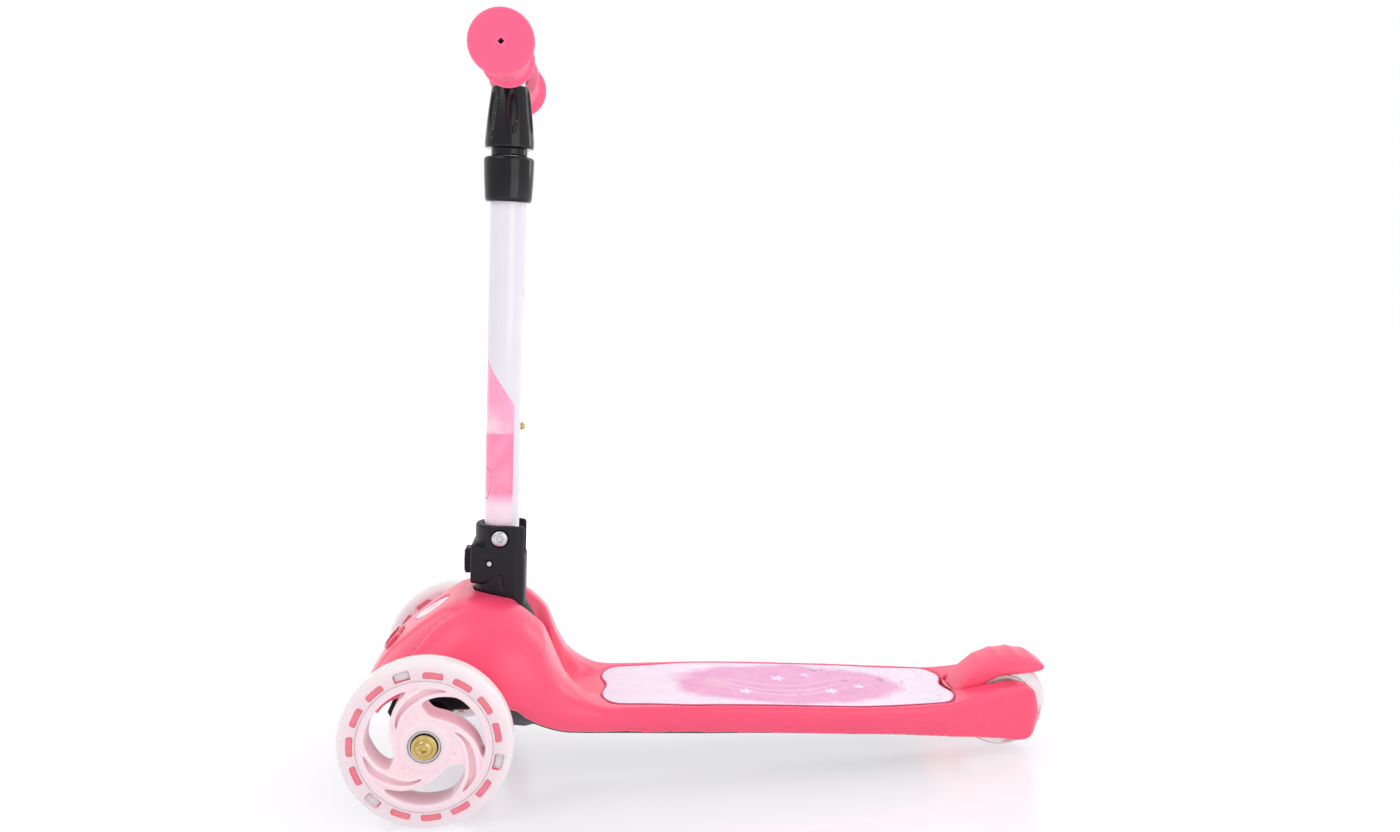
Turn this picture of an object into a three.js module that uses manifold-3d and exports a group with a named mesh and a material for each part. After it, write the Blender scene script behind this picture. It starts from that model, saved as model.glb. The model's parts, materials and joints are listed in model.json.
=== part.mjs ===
// Three-wheeled lean-to-steer kick scooter for small children, with a folding, height-adjustable T-bar.
// Millimetres, +Z up. The front (two wheels) faces -X and the rider's left side is at -Y.
// Shapes are placed from the front axle, then the whole scooter is moved so that its origin lies on
// the ground, under the middle of its bounding box.
import * as THREE from 'three';
import { mergeVertices } from 'three/addons/utils/BufferGeometryUtils.js';
import Module from 'manifold-3d';

// Driving dimensions
const GAP = 0.3; // clearance between neighbouring pieces
const FRONT_RADIUS = 60;
const FRONT_HALF_WIDTH = 12;
const HALF_TRACK = 106; // front wheel centre plane from the middle
const RIM_RADIUS = 46;
const REAR_RADIUS = 36;
const REAR_HALF_WIDTH = 12;
const REAR_CORE_RADIUS = 24;
const REAR_AXLE_X = 441; // wheelbase
const AXLE_RADIUS = 4; // M8 axles and bolts
const BEARING_RADIUS = 11; // 608 bearing, 22 x 8 x 7
const BEARING_HALF_WIDTH = 3.5;
const HUB_HALF_WIDTH = 11.3; // seat of the axle bolt flange from the wheel's middle
const MAGNET_HALF_WIDTH = 3.3;
const WALL = 3.5; // moulded deck wall
const MAT_THICKNESS = 1.2;

const STEM_TILT = THREE.MathUtils.degToRad(2.5); // stem leans back
const PIVOT_X = 46.4; // fold pivot
const PIVOT_Z = 181.6;
const TUBE_RADIUS = 13.25; // outer stem tube
const TUBE_BORE = 11.6;
const INNER_TUBE_RADIUS = 11;
const INNER_TUBE_BORE = 9.6;
const BAR_HEIGHT = 348; // handlebar above the fold pivot
const BAR_HALF_LENGTH = 104.3;
const GRIP_START = 31;
const HOLE_HEIGHT = 83.7; // lowest height hole above the fold pivot
const HOLE_PITCH = 50.1;
const HOLE_COUNT = 3;
const HOLE_RADIUS = 3.1;

const HOUSING_RADIUS = 19.35; // folding block
const HOUSING_TOP = 9.5;
const HOUSING_FOOT = -82;
const BLOCK_DEPTH = 58;
const FLARE_RADIUS = 27;
const SLOT_HALF_WIDTH = 14.3;
const LATCH_X = -7.5; // latch pin, from the fold pivot
const LATCH_Z = -19.5;
const LATCH_PIN_RADIUS = 2;
const LATCH_ANGLE = 0.65; // notch in the stem's cam, from straight down towards the front

const STEER_TILT = THREE.MathUtils.degToRad(-35); // kingpin leans forward
const BRAKE_PIN_X = 396;
const BRAKE_PIN_Z = 40.5;
const BRAKE_PIN_RADIUS = 2.5;
const BRAKE_CLEARANCE = 2.6;

const wasm = await Module();
wasm.setup();

// Solid helpers

function merged(geometry) {
  const copy = geometry.clone();
  copy.deleteAttribute('normal');
  copy.deleteAttribute('uv');
  return mergeVertices(copy, 1e-4);
}

function volume(geometry) {
  const p = geometry.attributes.position;
  const index = geometry.index.array;
  const corner = [0, 1, 2].map(() => new THREE.Vector3());
  let sum = 0;
  for (let i = 0; i < index.length; i += 3) {
    corner.forEach((v, k) => v.fromBufferAttribute(p, index[i + k]));
    sum += corner[0].dot(corner[1].cross(corner[2]));
  }
  return sum;
}

// A closed geometry as a solid, with its faces turned outwards.
function solid(geometry) {
  const clean = merged(geometry);
  const index = clean.index.array;
  if (volume(clean) < 0) {
    for (let i = 0; i < index.length; i += 3) {
      [index[i], index[i + 1]] = [index[i + 1], index[i]];
    }
  }
  const mesh = new wasm.Mesh({
    numProp: 3,
    vertProperties: new Float32Array(clean.attributes.position.array),
    triVerts: new Uint32Array(index),
  });
  return new wasm.Manifold(mesh);
}

function toGeometry(manifold) {
  const mesh = manifold.getMesh();
  const geometry = new THREE.BufferGeometry();
  geometry.setAttribute('position', new THREE.BufferAttribute(mesh.vertProperties, 3));
  geometry.setIndex(new THREE.BufferAttribute(mesh.triVerts, 1));
  return geometry;
}

function cut(body, ...tools) {
  return tools.reduce((rest, tool) => rest.subtract(tool), body);
}

function join(...bodies) {
  return bodies.reduce((sum, body) => sum.add(body));
}

// A ring or disc about the Y axis, from a closed profile of [radius, y] points.
function lathe(profile, segments = 24) {
  const points = profile.map(([r, y]) => new THREE.Vector2(r, y));
  if (profile[0][0] > 0) {
    points.push(points[0].clone());
  }
  return new THREE.LatheGeometry(points, segments);
}

function upright(geometry) {
  return geometry.rotateX(Math.PI / 2);
}

function ring(inner, outer, low, high, segments = 24) {
  return lathe([[inner, low], [outer, low], [outer, high], [inner, high]], segments);
}

function rod(radius, low, high, segments = 20) {
  return lathe([[0, low], [radius, low], [radius, high], [0, high]], segments);
}

function box(x0, x1, y0, y1, z0, z1) {
  const geometry = new THREE.BoxGeometry(x1 - x0, y1 - y0, z1 - z0);
  return geometry.translate((x0 + x1) / 2, (y0 + y1) / 2, (z0 + z1) / 2);
}

// A shape drawn in X and Z, given a width along Y.
function plate(shape, y0, y1, curveSegments = 8) {
  const geometry = new THREE.ExtrudeGeometry(shape, { depth: y1 - y0, bevelEnabled: false, curveSegments });
  return geometry.rotateX(Math.PI / 2).translate(0, y1, 0);
}

function polygon(points) {
  return new THREE.Shape(points.map(([x, y]) => new THREE.Vector2(x, y)));
}

class Helix extends THREE.Curve {
  constructor(radius, length, turns) {
    super();
    Object.assign(this, { radius, length, turns });
  }

  getPoint(t, target = new THREE.Vector3()) {
    const angle = t * this.turns * 2 * Math.PI;
    return target.set(this.length * t, this.radius * Math.cos(angle), this.radius * Math.sin(angle));
  }
}

// A helical spring along +X from the origin.
function coil(radius, wire, length, turns) {
  const section = new THREE.Shape().absarc(0, 0, wire, 0, 2 * Math.PI);
  const path = new Helix(radius, length - 2 * wire, turns);
  const settings = { steps: turns * 6, extrudePath: path, curveSegments: 2 };
  return new THREE.ExtrudeGeometry(section, settings).translate(wire, 0, 0);
}

// A smooth function through [x, value] points, without overshoot.
function through(points) {
  const slopes = points.slice(1).map(([x, v], i) => (v - points[i][1]) / (x - points[i][0]));
  const tangents = points.map((point, i) => {
    const before = slopes[Math.max(i - 1, 0)];
    const after = slopes[Math.min(i, slopes.length - 1)];
    return before * after <= 0 ? 0 : (2 * before * after) / (before + after);
  });
  return (x) => {
    const last = points.length - 2;
    const i = Math.min(last, Math.max(0, points.findIndex(([px]) => px > x) - 1));
    if (x >= points[last + 1][0]) {
      return points[last + 1][1];
    }
    const [x0, v0] = points[i];
    const [x1, v1] = points[i + 1];
    const span = x1 - x0;
    const t = Math.max(0, (x - x0) / span);
    const rise = (3 - 2 * t) * t * t;
    const ease = (1 - t) * (1 - t) * t * tangents[i] + (t - 1) * t * t * tangents[i + 1];
    return v0 + (v1 - v0) * rise + span * ease;
  };
}

// A body through closed [y, z] sections at the given stations along X.
function loft(stations, section) {
  const sections = stations.map(section);
  const count = sections[0].length;
  const geometry = new THREE.CylinderGeometry(1, 1, 1, count, stations.length - 1);
  const p = geometry.attributes.position;
  for (let i = 0; i < p.count; i += 1) {
    const k = Math.round((p.getY(i) + 0.5) * (stations.length - 1));
    const turn = Math.atan2(p.getX(i), p.getZ(i)) / (2 * Math.PI);
    const j = (Math.round(turn * count) + count) % count;
    const onRing = Math.hypot(p.getX(i), p.getZ(i)) > 0.5;
    const middle = [0, (sections[k][0][1] + sections[k][count / 2][1]) / 2];
    const [y, z] = onRing ? sections[k][j] : middle;
    p.setXYZ(i, stations[k], y, z);
  }
  return geometry;
}

// Deck form: half-width, crest, channel floor, crest spacing, shoulder and lower edge along X

const halfWidth = through([[-56, 18], [-54, 33], [-50, 46], [-44, 57], [-35, 66], [-20, 73], [0, 76],
  [40, 77], [65, 73], [85, 66], [105, 60.5], [125, 57.5], [150, 56.5], [200, 57], [300, 57],
  [345, 54], [388, 47], [415, 39.5], [440, 34.5], [455, 32.5], [465, 27]]);
const crest = through([[-56, 71], [-52, 82], [-46, 91], [-40, 99], [-30, 109], [-20, 117], [-9, 124.5],
  [7, 134], [24, 143.5], [36, 143], [49, 139], [56, 137], [65, 132.5], [71, 127], [78, 116.5],
  [82.5, 105.5], [86, 96], [90, 87.5], [94, 80], [101, 72.5], [108, 66.8], [119, 61.5], [130, 59.9],
  [160, 59.5], [194, 59], [388, 50.5], [405, 52.5], [428, 56.5], [446, 57.5], [454, 56], [459, 53],
  [463, 45], [465, 40]]);
const channelFloor = through([[50, 139], [56, 136], [62, 120], [68, 96], [74, 83], [80, 75.5], [90, 68],
  [100, 63.5], [110, 61], [130, 59.9]]);
const crestSpacing = through([[-56, 5], [-40, 18], [0, 22], [65, 26], [78, 24], [84, 21], [90, 24],
  [94, 28], [101, 31], [108, 35.5], [119, 39.5], [125, 43], [157, 47], [194, 51.5], [307, 51],
  [388, 41.5], [415, 33], [440, 29], [465, 20]]);
const shoulder = through([[-56, 67], [0, 72], [50, 72], [85, 62], [105, 52], [125, 50], [200, 49],
  [300, 45], [388, 40], [440, 36], [465, 33]]);
const lowerEdge = through([[-56, 63], [-40, 62], [40, 63], [57, 66], [66, 59], [76, 52.5], [86, 47.5],
  [97, 44], [119, 41.2], [156, 39], [194, 37.5], [300, 32], [345, 28.5], [392, 22], [433, 15],
  [449, 12.5], [457, 14.5], [462, 20], [465, 27]]);
const sideFullness = through([[-56, 2.2], [60, 2.4], [90, 3], [110, 6], [130, 12], [465, 12]]);

const matHalfWidth = through([[121, 36], [127, 43], [157, 47], [194, 51.5], [307, 51], [360, 45.5],
  [392, 41], [398, 35]]);

const CREST_STEPS = 3;
const SIDE_STEPS = 7;

// Right half of a deck section, from the middle of the top to the middle of the bottom.
function halfSection(x, inset, depth, open) {
  const w = halfWidth(x) - inset;
  const h = Math.min(crestSpacing(x), w * 0.8);
  const top = crest(x) - inset;
  const floor = x > 50 && x < 130 ? channelFloor(x) - inset : top;
  const side = shoulder(x);
  const bottom = lowerEdge(x) - depth;
  const power = sideFullness(x);
  const points = [];
  for (let i = 0; i <= CREST_STEPS; i += 1) {
    const u = i / CREST_STEPS;
    points.push([h * u, open ? floor : floor + (top - floor) * u ** 3]);
  }
  for (let i = 1; i <= SIDE_STEPS; i += 1) {
    const u = Math.sin((i / SIDE_STEPS) * (Math.PI / 2));
    const fall = (1 - u ** power) ** (1 / Math.min(power, 2.2));
    const peak = open ? floor : top;
    points.push([h + (w - h) * u, side + (peak - side) * fall]);
  }
  const tuck = 4 - inset;
  points.push([w - tuck * 0.25, side + (bottom - side) * 0.6]);
  points.push([w - Math.max(tuck, 0), bottom]);
  points.push([w / 2, bottom]);
  points.push([0, bottom]);
  return points;
}

function deckSection(x, inset = 0, depth = 0, open = false) {
  const half = halfSection(x, inset, depth, open);
  const mirror = half.slice(1, -1).reverse().map(([y, z]) => [-y, z]);
  return [...half, ...mirror];
}

// Frames of the leaning stem and of the kingpin, for tools that cut the deck

function fromPivot(geometry) {
  return geometry.rotateY(STEM_TILT).translate(PIVOT_X, 0, PIVOT_Z);
}

function fromKingpin(geometry) {
  return geometry.rotateY(STEER_TILT).translate(0, 0, FRONT_RADIUS);
}

// Plan of the folding block: round at the front, flat with round corners at the rear.
function blockOutline(grow) {
  const r = HOUSING_RADIUS + grow;
  const corner = 5;
  const shape = new THREE.Shape();
  shape.absarc(0, 0, r, Math.PI / 2, (3 * Math.PI) / 2);
  shape.lineTo(r - corner, -r);
  shape.absarc(r - corner, -r + corner, corner, -Math.PI / 2, 0);
  shape.lineTo(r, r - corner);
  shape.absarc(r - corner, r - corner, corner, 0, Math.PI / 2);
  return shape;
}

function housingBlock(grow) {
  const settings = { depth: BLOCK_DEPTH + grow, bevelEnabled: false, curveSegments: 8 };
  const block = new THREE.ExtrudeGeometry(blockOutline(grow), settings);
  return block.translate(0, 0, HOUSING_TOP - BLOCK_DEPTH - grow);
}

function housingFoot(grow) {
  return upright(lathe([[0, HOUSING_FOOT - grow], [FLARE_RADIUS + grow, HOUSING_FOOT - grow],
    [FLARE_RADIUS + grow, -64 + grow], [HOUSING_RADIUS, -49 + grow], [HOUSING_RADIUS, -47 + grow],
    [0, -47 + grow]], 20));
}

function ovalShape(halfLength, halfHeight) {
  return new THREE.Shape().absellipse(0, 0, halfLength, halfHeight, 0, 2 * Math.PI);
}

// An oval disc across the nose: long axis along Y, facing up and forwards.
function noseOval(halfLength, halfHeight, depth, x, z, slope) {
  const geometry = new THREE.ExtrudeGeometry(ovalShape(halfHeight, halfLength), {
    depth, bevelEnabled: false, curveSegments: 10,
  });
  return geometry.rotateY(-slope).translate(x, 0, z);
}

const BADGE = [12, 15, -7, 126, THREE.MathUtils.degToRad(31)];
const REFLECTOR = [22, 9, -36.5, 103, THREE.MathUtils.degToRad(45)];

function badgeGeometry(depth, grow, lift) {
  const [halfLength, halfHeight, x, z, slope] = BADGE;
  const up = lift - depth;
  return noseOval(halfLength + grow, halfHeight + grow, depth, x - Math.sin(slope) * up,
    z + Math.cos(slope) * up, slope);
}

function reflectorGeometry(depth, grow, lift) {
  const [halfLength, halfHeight, x, z, slope] = REFLECTOR;
  const up = lift - depth;
  return noseOval(halfLength + grow, halfHeight + grow, depth, x - Math.sin(slope) * up,
    z + Math.cos(slope) * up, slope);
}

// Deck pieces

const SHELL_STATIONS = [-56, -54, -50, -44, -36, -26, -14, 2, 20, 36, 50, 58, 66, 74, 81, 86, 92, 100, 110,
  130, 194, 290, 388, 402, 424, 446, 456, 461, 465];
const NOSE_POCKET = [-49, -42, -30, -14, 4, 24, 42, 56];
const DECK_POCKET = [62, 76, 92, 110, 130, 194, 290, 384];
const RIB_X = [140, 203, 270, 345];

function matOutline(inset) {
  const shape = new THREE.Shape();
  const xs = [121, 124, 130, 145, 165, 194, 230, 270, 307, 335, 360, 380, 392, 397];
  xs.forEach((x, i) => {
    const y = matHalfWidth(x) - inset;
    const along = THREE.MathUtils.clamp(x, 121 + inset, 397 - inset);
    return i === 0 ? shape.moveTo(along, y) : shape.lineTo(along, y);
  });
  [...xs].reverse().forEach((x) => {
    const along = THREE.MathUtils.clamp(x, 121 + inset, 397 - inset);
    shape.lineTo(along, -matHalfWidth(x) + inset);
  });
  return shape;
}

// The mat outline swept between two depths under the deck surface.
function matBlock(inset, below, above) {
  const outline = new THREE.ExtrudeGeometry(matOutline(inset), { depth: 60, bevelEnabled: false });
  const skin = loft([100, 130, 160, 194, 388, 405], (x) => {
    const z = x < 388 ? crest(Math.max(x, 130)) : crest(388) - (x - 388) * 0.0438;
    return [[0, z + above], [60, z + above], [60, z - below], [0, z - below], [-60, z - below],
      [-60, z + above]];
  });
  return solid(outline.translate(0, 0, 30)).intersect(solid(skin));
}

function wheelArch() {
  const tool = rod(1, -90, 90, 24).scale(49, 1, 27);
  return solid(tool.translate(8, 0, 58));
}

function ribs() {
  return RIB_X.map((x) => {
    const rib = box(x - 1.5, x + 1.5, -56, 56, lowerEdge(x) + 3, crest(x) - WALL + 1);
    return solid(rib);
  });
}

function rearSlot() {
  const wheel = rod(REAR_RADIUS + 4, -15.5, 15.5, 28).translate(REAR_AXLE_X, 0, REAR_RADIUS);
  const tail = box(REAR_AXLE_X, 480, -15.5, 15.5, 0, 80);
  const brake = box(398.5, 433, -17.2, 17.2, 33, 90);
  const root = box(389, 402, -17.2, 17.2, 33, 50);
  const below = box(403, REAR_AXLE_X, -15.5, 15.5, 0, 40);
  return [wheel, tail, brake, root, below].map(solid);
}

function axleSlots() {
  const bore = rod(AXLE_RADIUS + GAP, -25.3, 25.3, 12).translate(REAR_AXLE_X, 0, REAR_RADIUS);
  const slot = AXLE_RADIUS + GAP;
  const way = box(REAR_AXLE_X - slot, REAR_AXLE_X + slot, -25.3, 25.3, 0, REAR_RADIUS);
  const pin = rod(BRAKE_PIN_RADIUS + GAP, -24.3, 24.3, 10).translate(BRAKE_PIN_X, 0, BRAKE_PIN_Z);
  return [bore, way, pin].map(solid);
}

const SCREW_SPOTS = { front: [100, 40], rear: [350, 38] };

function screwPosts() {
  return Object.values(SCREW_SPOTS).flatMap(([x, y]) => [-y, y].map((side) => {
    const post = upright(rod(4.5, lowerEdge(x) + 4, crest(x) - WALL + 1, 8));
    return solid(post.translate(x, side, 0));
  }));
}

function screwHoles(radius) {
  return Object.values(SCREW_SPOTS).flatMap(([x, y]) => [-y, y].map((side) => {
    const hole = upright(rod(radius, 0, lowerEdge(x) + 11.5, 8));
    return solid(hole.translate(x, side, 0));
  }));
}

function deckShell() {
  const outer = solid(loft(SHELL_STATIONS, (x) => deckSection(x)));
  const nose = solid(loft(NOSE_POCKET, (x) => deckSection(x, WALL, 8)));
  const belly = solid(loft(DECK_POCKET, (x) => deckSection(x, WALL, 8, true)));
  const tower = solid(fromPivot(upright(rod(FLARE_RADIUS + 4, HOUSING_FOOT - 4, -40, 20))));
  const boss = solid(fromKingpin(upright(rod(12, 17, 58, 14))));
  const hollow = cut(outer, nose, belly, wheelArch());
  const filled = join(hollow, ...[tower, boss, ...ribs(), ...screwPosts()].map((b) => b.intersect(outer)));
  return cut(
    filled,
    solid(fromPivot(housingBlock(0.6))),
    solid(fromPivot(housingFoot(0.6))),
    solid(fromKingpin(upright(rod(AXLE_RADIUS + GAP, 0, 46, 12)))),
    matBlock(0, MAT_THICKNESS + GAP, 5),
    solid(badgeGeometry(3, 0.4, 1)),
    solid(reflectorGeometry(4, 0.4, 2)),
    ...rearSlot(),
    ...axleSlots(),
    ...screwHoles(1.9),
  );
}

const COVER_STATIONS = [68, 77, 92, 110, 130, 160, 200, 330, 381];
const COVER_FLAT = 28; // underside of the level middle of the cover
const COVER_SLOPE = 22; // width of the cover's sloping sides

function bottomCover() {
  const underside = (x) => (x < 200 ? COVER_FLAT + (lowerEdge(x) - lowerEdge(200)) * 0.95
    : COVER_FLAT - Math.max(0, x - 330) * 0.12);
  const cover = loft(COVER_STATIONS, (x) => {
    const w = halfWidth(x) - WALL - 3.6;
    const edge = lowerEdge(x) + 2;
    const low = underside(x);
    const flat = w - COVER_SLOPE;
    return [[0, edge], [w * 0.6, edge], [w, edge], [w, edge - 2.4], [flat, low], [0, low], [-flat, low],
      [-w, edge - 2.4], [-w, edge], [-w * 0.6, edge]];
  });
  return cut(solid(cover), ...screwHoles(2.1));
}

function coverScrew(x, y) {
  return upright(rod(1.6, lowerEdge(x) - 1, lowerEdge(x) + 11, 8)).translate(x, y, 0);
}

function deckMat() {
  return matBlock(0.5, MAT_THICKNESS, 0);
}

function reflectorBezel() {
  const outer = solid(reflectorGeometry(3.6, 0, 2));
  return cut(outer, solid(reflectorGeometry(9, -2.2, 3)));
}

function rearAxleKeeper(side) {
  const half = AXLE_RADIUS - 0.1;
  const y = side * 20.3;
  return box(REAR_AXLE_X - half, REAR_AXLE_X + half, y - 4.4, y + 4.4, 15, REAR_RADIUS - AXLE_RADIUS - GAP);
}

// Steering pieces

function frontTruck() {
  const lobe = polygon([[-38, 57], [-30, 45], [-16, 42], [-4, 50], [-4, 78], [-30, 74]]);
  const beam = polygon([[-20, 64.5], [24, 64.5], [34, 68], [34, 77], [-4, 84], [-20, 82]]);
  const parts = [
    solid(plate(lobe, -40, 40)),
    solid(plate(beam, -62, 62)),
    solid(fromKingpin(upright(rod(15, -12, 16, 20)))),
    solid(rod(12, -90, 90, 16).translate(0, 0, FRONT_RADIUS)),
    solid(rod(6.5, -94.7, 94.7, 12).translate(0, 0, FRONT_RADIUS)),
  ];
  const bores = [-1, 1].map((side) => {
    const bore = rod(AXLE_RADIUS + GAP, 69.5, 100, 12).translate(0, 0, FRONT_RADIUS);
    return solid(side > 0 ? bore : bore.scale(1, -1, 1));
  });
  const kingpinRoom = solid(fromKingpin(upright(rod(AXLE_RADIUS + GAP, -60, 60, 12))));
  const aboveHub = solid(fromKingpin(upright(rod(15.5, 16.2, 60, 16))));
  const belowHub = solid(fromKingpin(upright(rod(11, -60, -12, 16))));
  return cut(join(...parts), ...bores, kingpinRoom, aboveHub, belowHub);
}

function kingpinNut() {
  const hexagon = upright(rod(7, -19, -12.4, 6));
  return cut(solid(hexagon), solid(upright(rod(AXLE_RADIUS + GAP, -30, 0, 12))));
}

function axleBolt(side) {
  const face = HALF_TRACK + HUB_HALF_WIDTH;
  const profile = [[0, 70], [AXLE_RADIUS, 70], [AXLE_RADIUS, face], [8.8, face], [8.8, face + 1.4],
    [6, face + 1.6], [5.2, face + 3.6], [2.6, face + 4.6], [2.6, face + 1.8], [0, face + 1.8]];
  return lathe(profile.map(([r, y]) => [r, side * y]), 16);
}

// Front wheels, drawn about their own centre with the outer face at -Y

const SPOKES = 3;
const LIGHT_ANGLE = THREE.MathUtils.degToRad(105);

function crescent(turn) {
  const shape = new THREE.Path();
  const steps = 7;
  for (let i = 0; i <= steps; i += 1) {
    const t = i / steps;
    const angle = turn + THREE.MathUtils.degToRad(88 * t);
    shape[i === 0 ? 'moveTo' : 'lineTo'](41.5 * Math.cos(angle), 41.5 * Math.sin(angle));
  }
  for (let i = steps - 1; i > 0; i -= 1) {
    const t = i / steps;
    const angle = turn + THREE.MathUtils.degToRad(88 * t);
    const r = 41.5 - 17 * Math.sin(Math.PI * t ** 0.75);
    shape.lineTo(r * Math.cos(angle), r * Math.sin(angle));
  }
  return shape;
}

function frontRim() {
  const web = new THREE.Shape().absarc(0, 0, 43.5, 0, 2 * Math.PI);
  web.holes.push(new THREE.Path().absarc(0, 0, 13, 0, 2 * Math.PI));
  for (let i = 0; i < SPOKES; i += 1) {
    web.holes.push(crescent(THREE.MathUtils.degToRad(20 + (360 / SPOKES) * i)));
  }
  const hub = ring(BEARING_RADIUS + GAP, 16.5, -11.5, 11.5, 16);
  const stop = ring(8.5, 15, -3.3, 3.3, 16);
  const band = ring(42, RIM_RADIUS, -11.6, 11.6, 32);
  return join(solid(plate(web, -8, 8, 12)), solid(hub), solid(stop), solid(band));
}

// The three light modules of a wheel, one third of a turn apart on a thin carrier band.
function lightModules(grow) {
  const low = RIM_RADIUS + 0.7 - grow * 4;
  const band = ring(low, RIM_RADIUS + 1.7 + grow, -2 - grow, 2 + grow, 24);
  const blocks = [0, 1, 2].map((i) => {
    const block = box(RIM_RADIUS + 1, RIM_RADIUS + 8 + grow, -9 - grow, 9 + grow, -7 - grow, 7 + grow);
    return solid(block.rotateY(-LIGHT_ANGLE - (i * 2 * Math.PI) / 3));
  });
  return join(solid(band), ...blocks);
}

function frontTyre() {
  const r = FRONT_RADIUS;
  const w = FRONT_HALF_WIDTH;
  const body = lathe([[RIM_RADIUS + GAP, -10.6], [50, -w], [56, -w + 2.4], [r, -2.5], [r, 2.5], [56, w - 2.4],
    [50, w], [RIM_RADIUS + GAP, 10.6]], 32);
  return cut(solid(body), lightModules(GAP));
}

function bearing() {
  return ring(AXLE_RADIUS + 0.2, BEARING_RADIUS, -BEARING_HALF_WIDTH, BEARING_HALF_WIDTH, 16);
}

function magnetCore() {
  return ring(AXLE_RADIUS + 0.2, 7.8, -MAGNET_HALF_WIDTH, MAGNET_HALF_WIDTH, 16);
}

// Rear wheel and brake

function rearTyre() {
  const w = REAR_HALF_WIDTH;
  return lathe([[REAR_CORE_RADIUS + GAP, -w], [30, -w], [34.2, -8], [REAR_RADIUS, -2], [REAR_RADIUS, 2],
    [34.2, 8], [30, w], [REAR_CORE_RADIUS + GAP, w]], 32);
}

function rearCore() {
  const w = REAR_HALF_WIDTH - 0.5;
  const body = lathe([[BEARING_RADIUS + GAP, -w], [15, -w], [16, -6], [21, -6], [21.5, -w],
    [REAR_CORE_RADIUS, -w], [REAR_CORE_RADIUS, w], [21.5, w], [21, 6], [16, 6], [15, w],
    [BEARING_RADIUS + GAP, w]], 20);
  const stop = ring(8.5, BEARING_RADIUS + 1, -3.6, 3.6, 20);
  return join(solid(body), solid(stop));
}

function brakeLever() {
  const outline = new THREE.Shape();
  outline.moveTo(391, 41);
  outline.lineTo(399.5, 50);
  outline.quadraticCurveTo(401, 61, 411.5, 71);
  outline.quadraticCurveTo(424, 81.5, 441, 82);
  outline.quadraticCurveTo(457, 81.5, 468, 71);
  outline.lineTo(473.5, 66.5);
  outline.quadraticCurveTo(474, 62, 469, 62);
  outline.quadraticCurveTo(446, 64.5, 432, 60);
  outline.quadraticCurveTo(420, 54, 410, 43);
  outline.lineTo(401, 36);
  outline.lineTo(394, 35.5);
  const body = solid(plate(outline, -16.3, 16.3, 5));
  const tyreRoom = rod(REAR_RADIUS + BRAKE_CLEARANCE, -13.4, 13.4, 32).translate(REAR_AXLE_X, 0, REAR_RADIUS);
  const springRoom = box(385, 404, -7, 7, 33, 49);
  const pinHole = rod(BRAKE_PIN_RADIUS + 0.2, -20, 20, 16).translate(BRAKE_PIN_X, 0, BRAKE_PIN_Z);
  return cut(body, ...[tyreRoom, springRoom, pinHole].map(solid));
}

function brakeSpring() {
  const spring = coil(4.2, 0.7, 12.6, 4).rotateZ(Math.PI / 2);
  return spring.translate(BRAKE_PIN_X, -6.3, BRAKE_PIN_Z);
}

// Folding block and stem, drawn from the fold pivot with the stem along +Z

function foldingHousing() {
  const boss = polygon([[-21.6, -8], [-17, -5], [-10, -7], [-2, -15], [-3, -26], [-10, -33], [-21.6, -35]]);
  const parts = [housingBlock(0), housingFoot(0), plate(boss, -17.4, 17.4)];
  const bore = upright(rod(SLOT_HALF_WIDTH, -14.6, 20, 20));
  const rearOpening = box(0, 30, -SLOT_HALF_WIDTH, SLOT_HALF_WIDTH, -14.6, 20);
  const latchRoom = box(-30, -14.8, -7.6, 7.6, -32.4, -6.5);
  const latchWell = box(-15, 6, -7.6, 7.6, -26, -13);
  const drain = upright(rod(5, HOUSING_FOOT - 1, -30.5, 8));
  const tools = [bore, rearOpening, latchRoom, latchWell, drain, rod(AXLE_RADIUS + GAP, -30, 30, 12),
    rod(LATCH_PIN_RADIUS + GAP, -18, 18, 10).translate(LATCH_X, 0, LATCH_Z), rod(7, -25, -17.6, 16),
    rod(7, 17.6, 25, 16)];
  return cut(join(...parts.map(solid)), ...tools.map(solid));
}

function pivotBolt() {
  const profile = [[0, 16.4], [AXLE_RADIUS, 16.4], [AXLE_RADIUS, -17.9], [6.2, -17.9], [6.2, -19.4],
    [4.6, -20.6], [2.4, -20.8], [2.4, -18.6], [0, -18.6]];
  return lathe(profile, 16);
}

function pivotNut() {
  const profile = [[0, 20.6], [4.4, 20.6], [6.2, 19.4], [6.2, 17.9], [AXLE_RADIUS, 17.9], [AXLE_RADIUS, 16.8],
    [0, 16.8]];
  return lathe(profile, 16);
}

function latchLever() {
  const arm = polygon([[-22.5, -24.5], [-15, -23.8], [-9, -24.2], [-4.2, -22], [-3.8, -17.5], [-7, -14.6],
    [-8.2, -11.4], [-10.4, -10.4], [-12.5, -14], [-22.5, -12]]);
  const face = polygon([[-26.4, -26], [-24, -29.4], [-21.6, -29.4], [-21.6, -10], [-24, -10],
    [-26.4, -13.4]]);
  const grooves = [-24.5, -21.6, -18.7, -15.8].map((z) => solid(box(-28, -25.8, -8, 8, z, z + 1.1)));
  const pinHole = solid(rod(LATCH_PIN_RADIUS + 0.2, -10, 10, 14).translate(LATCH_X, 0, LATCH_Z));
  const lever = join(solid(plate(arm, -6.4, 6.4)), solid(plate(face, -6.9, 6.9)));
  return cut(lever, ...grooves, pinHole);
}

function latchSpring() {
  return coil(1.7, 0.35, 6.2, 4).translate(-21.3, 0, -28.6);
}

function heightHoles(radius, from, to) {
  return Array.from({ length: HOLE_COUNT }, (unused, i) => {
    const hole = rod(radius, from, to, 10).rotateZ(-Math.PI / 2);
    return solid(hole.translate(0, 0, HOLE_HEIGHT + i * HOLE_PITCH));
  });
}

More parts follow.
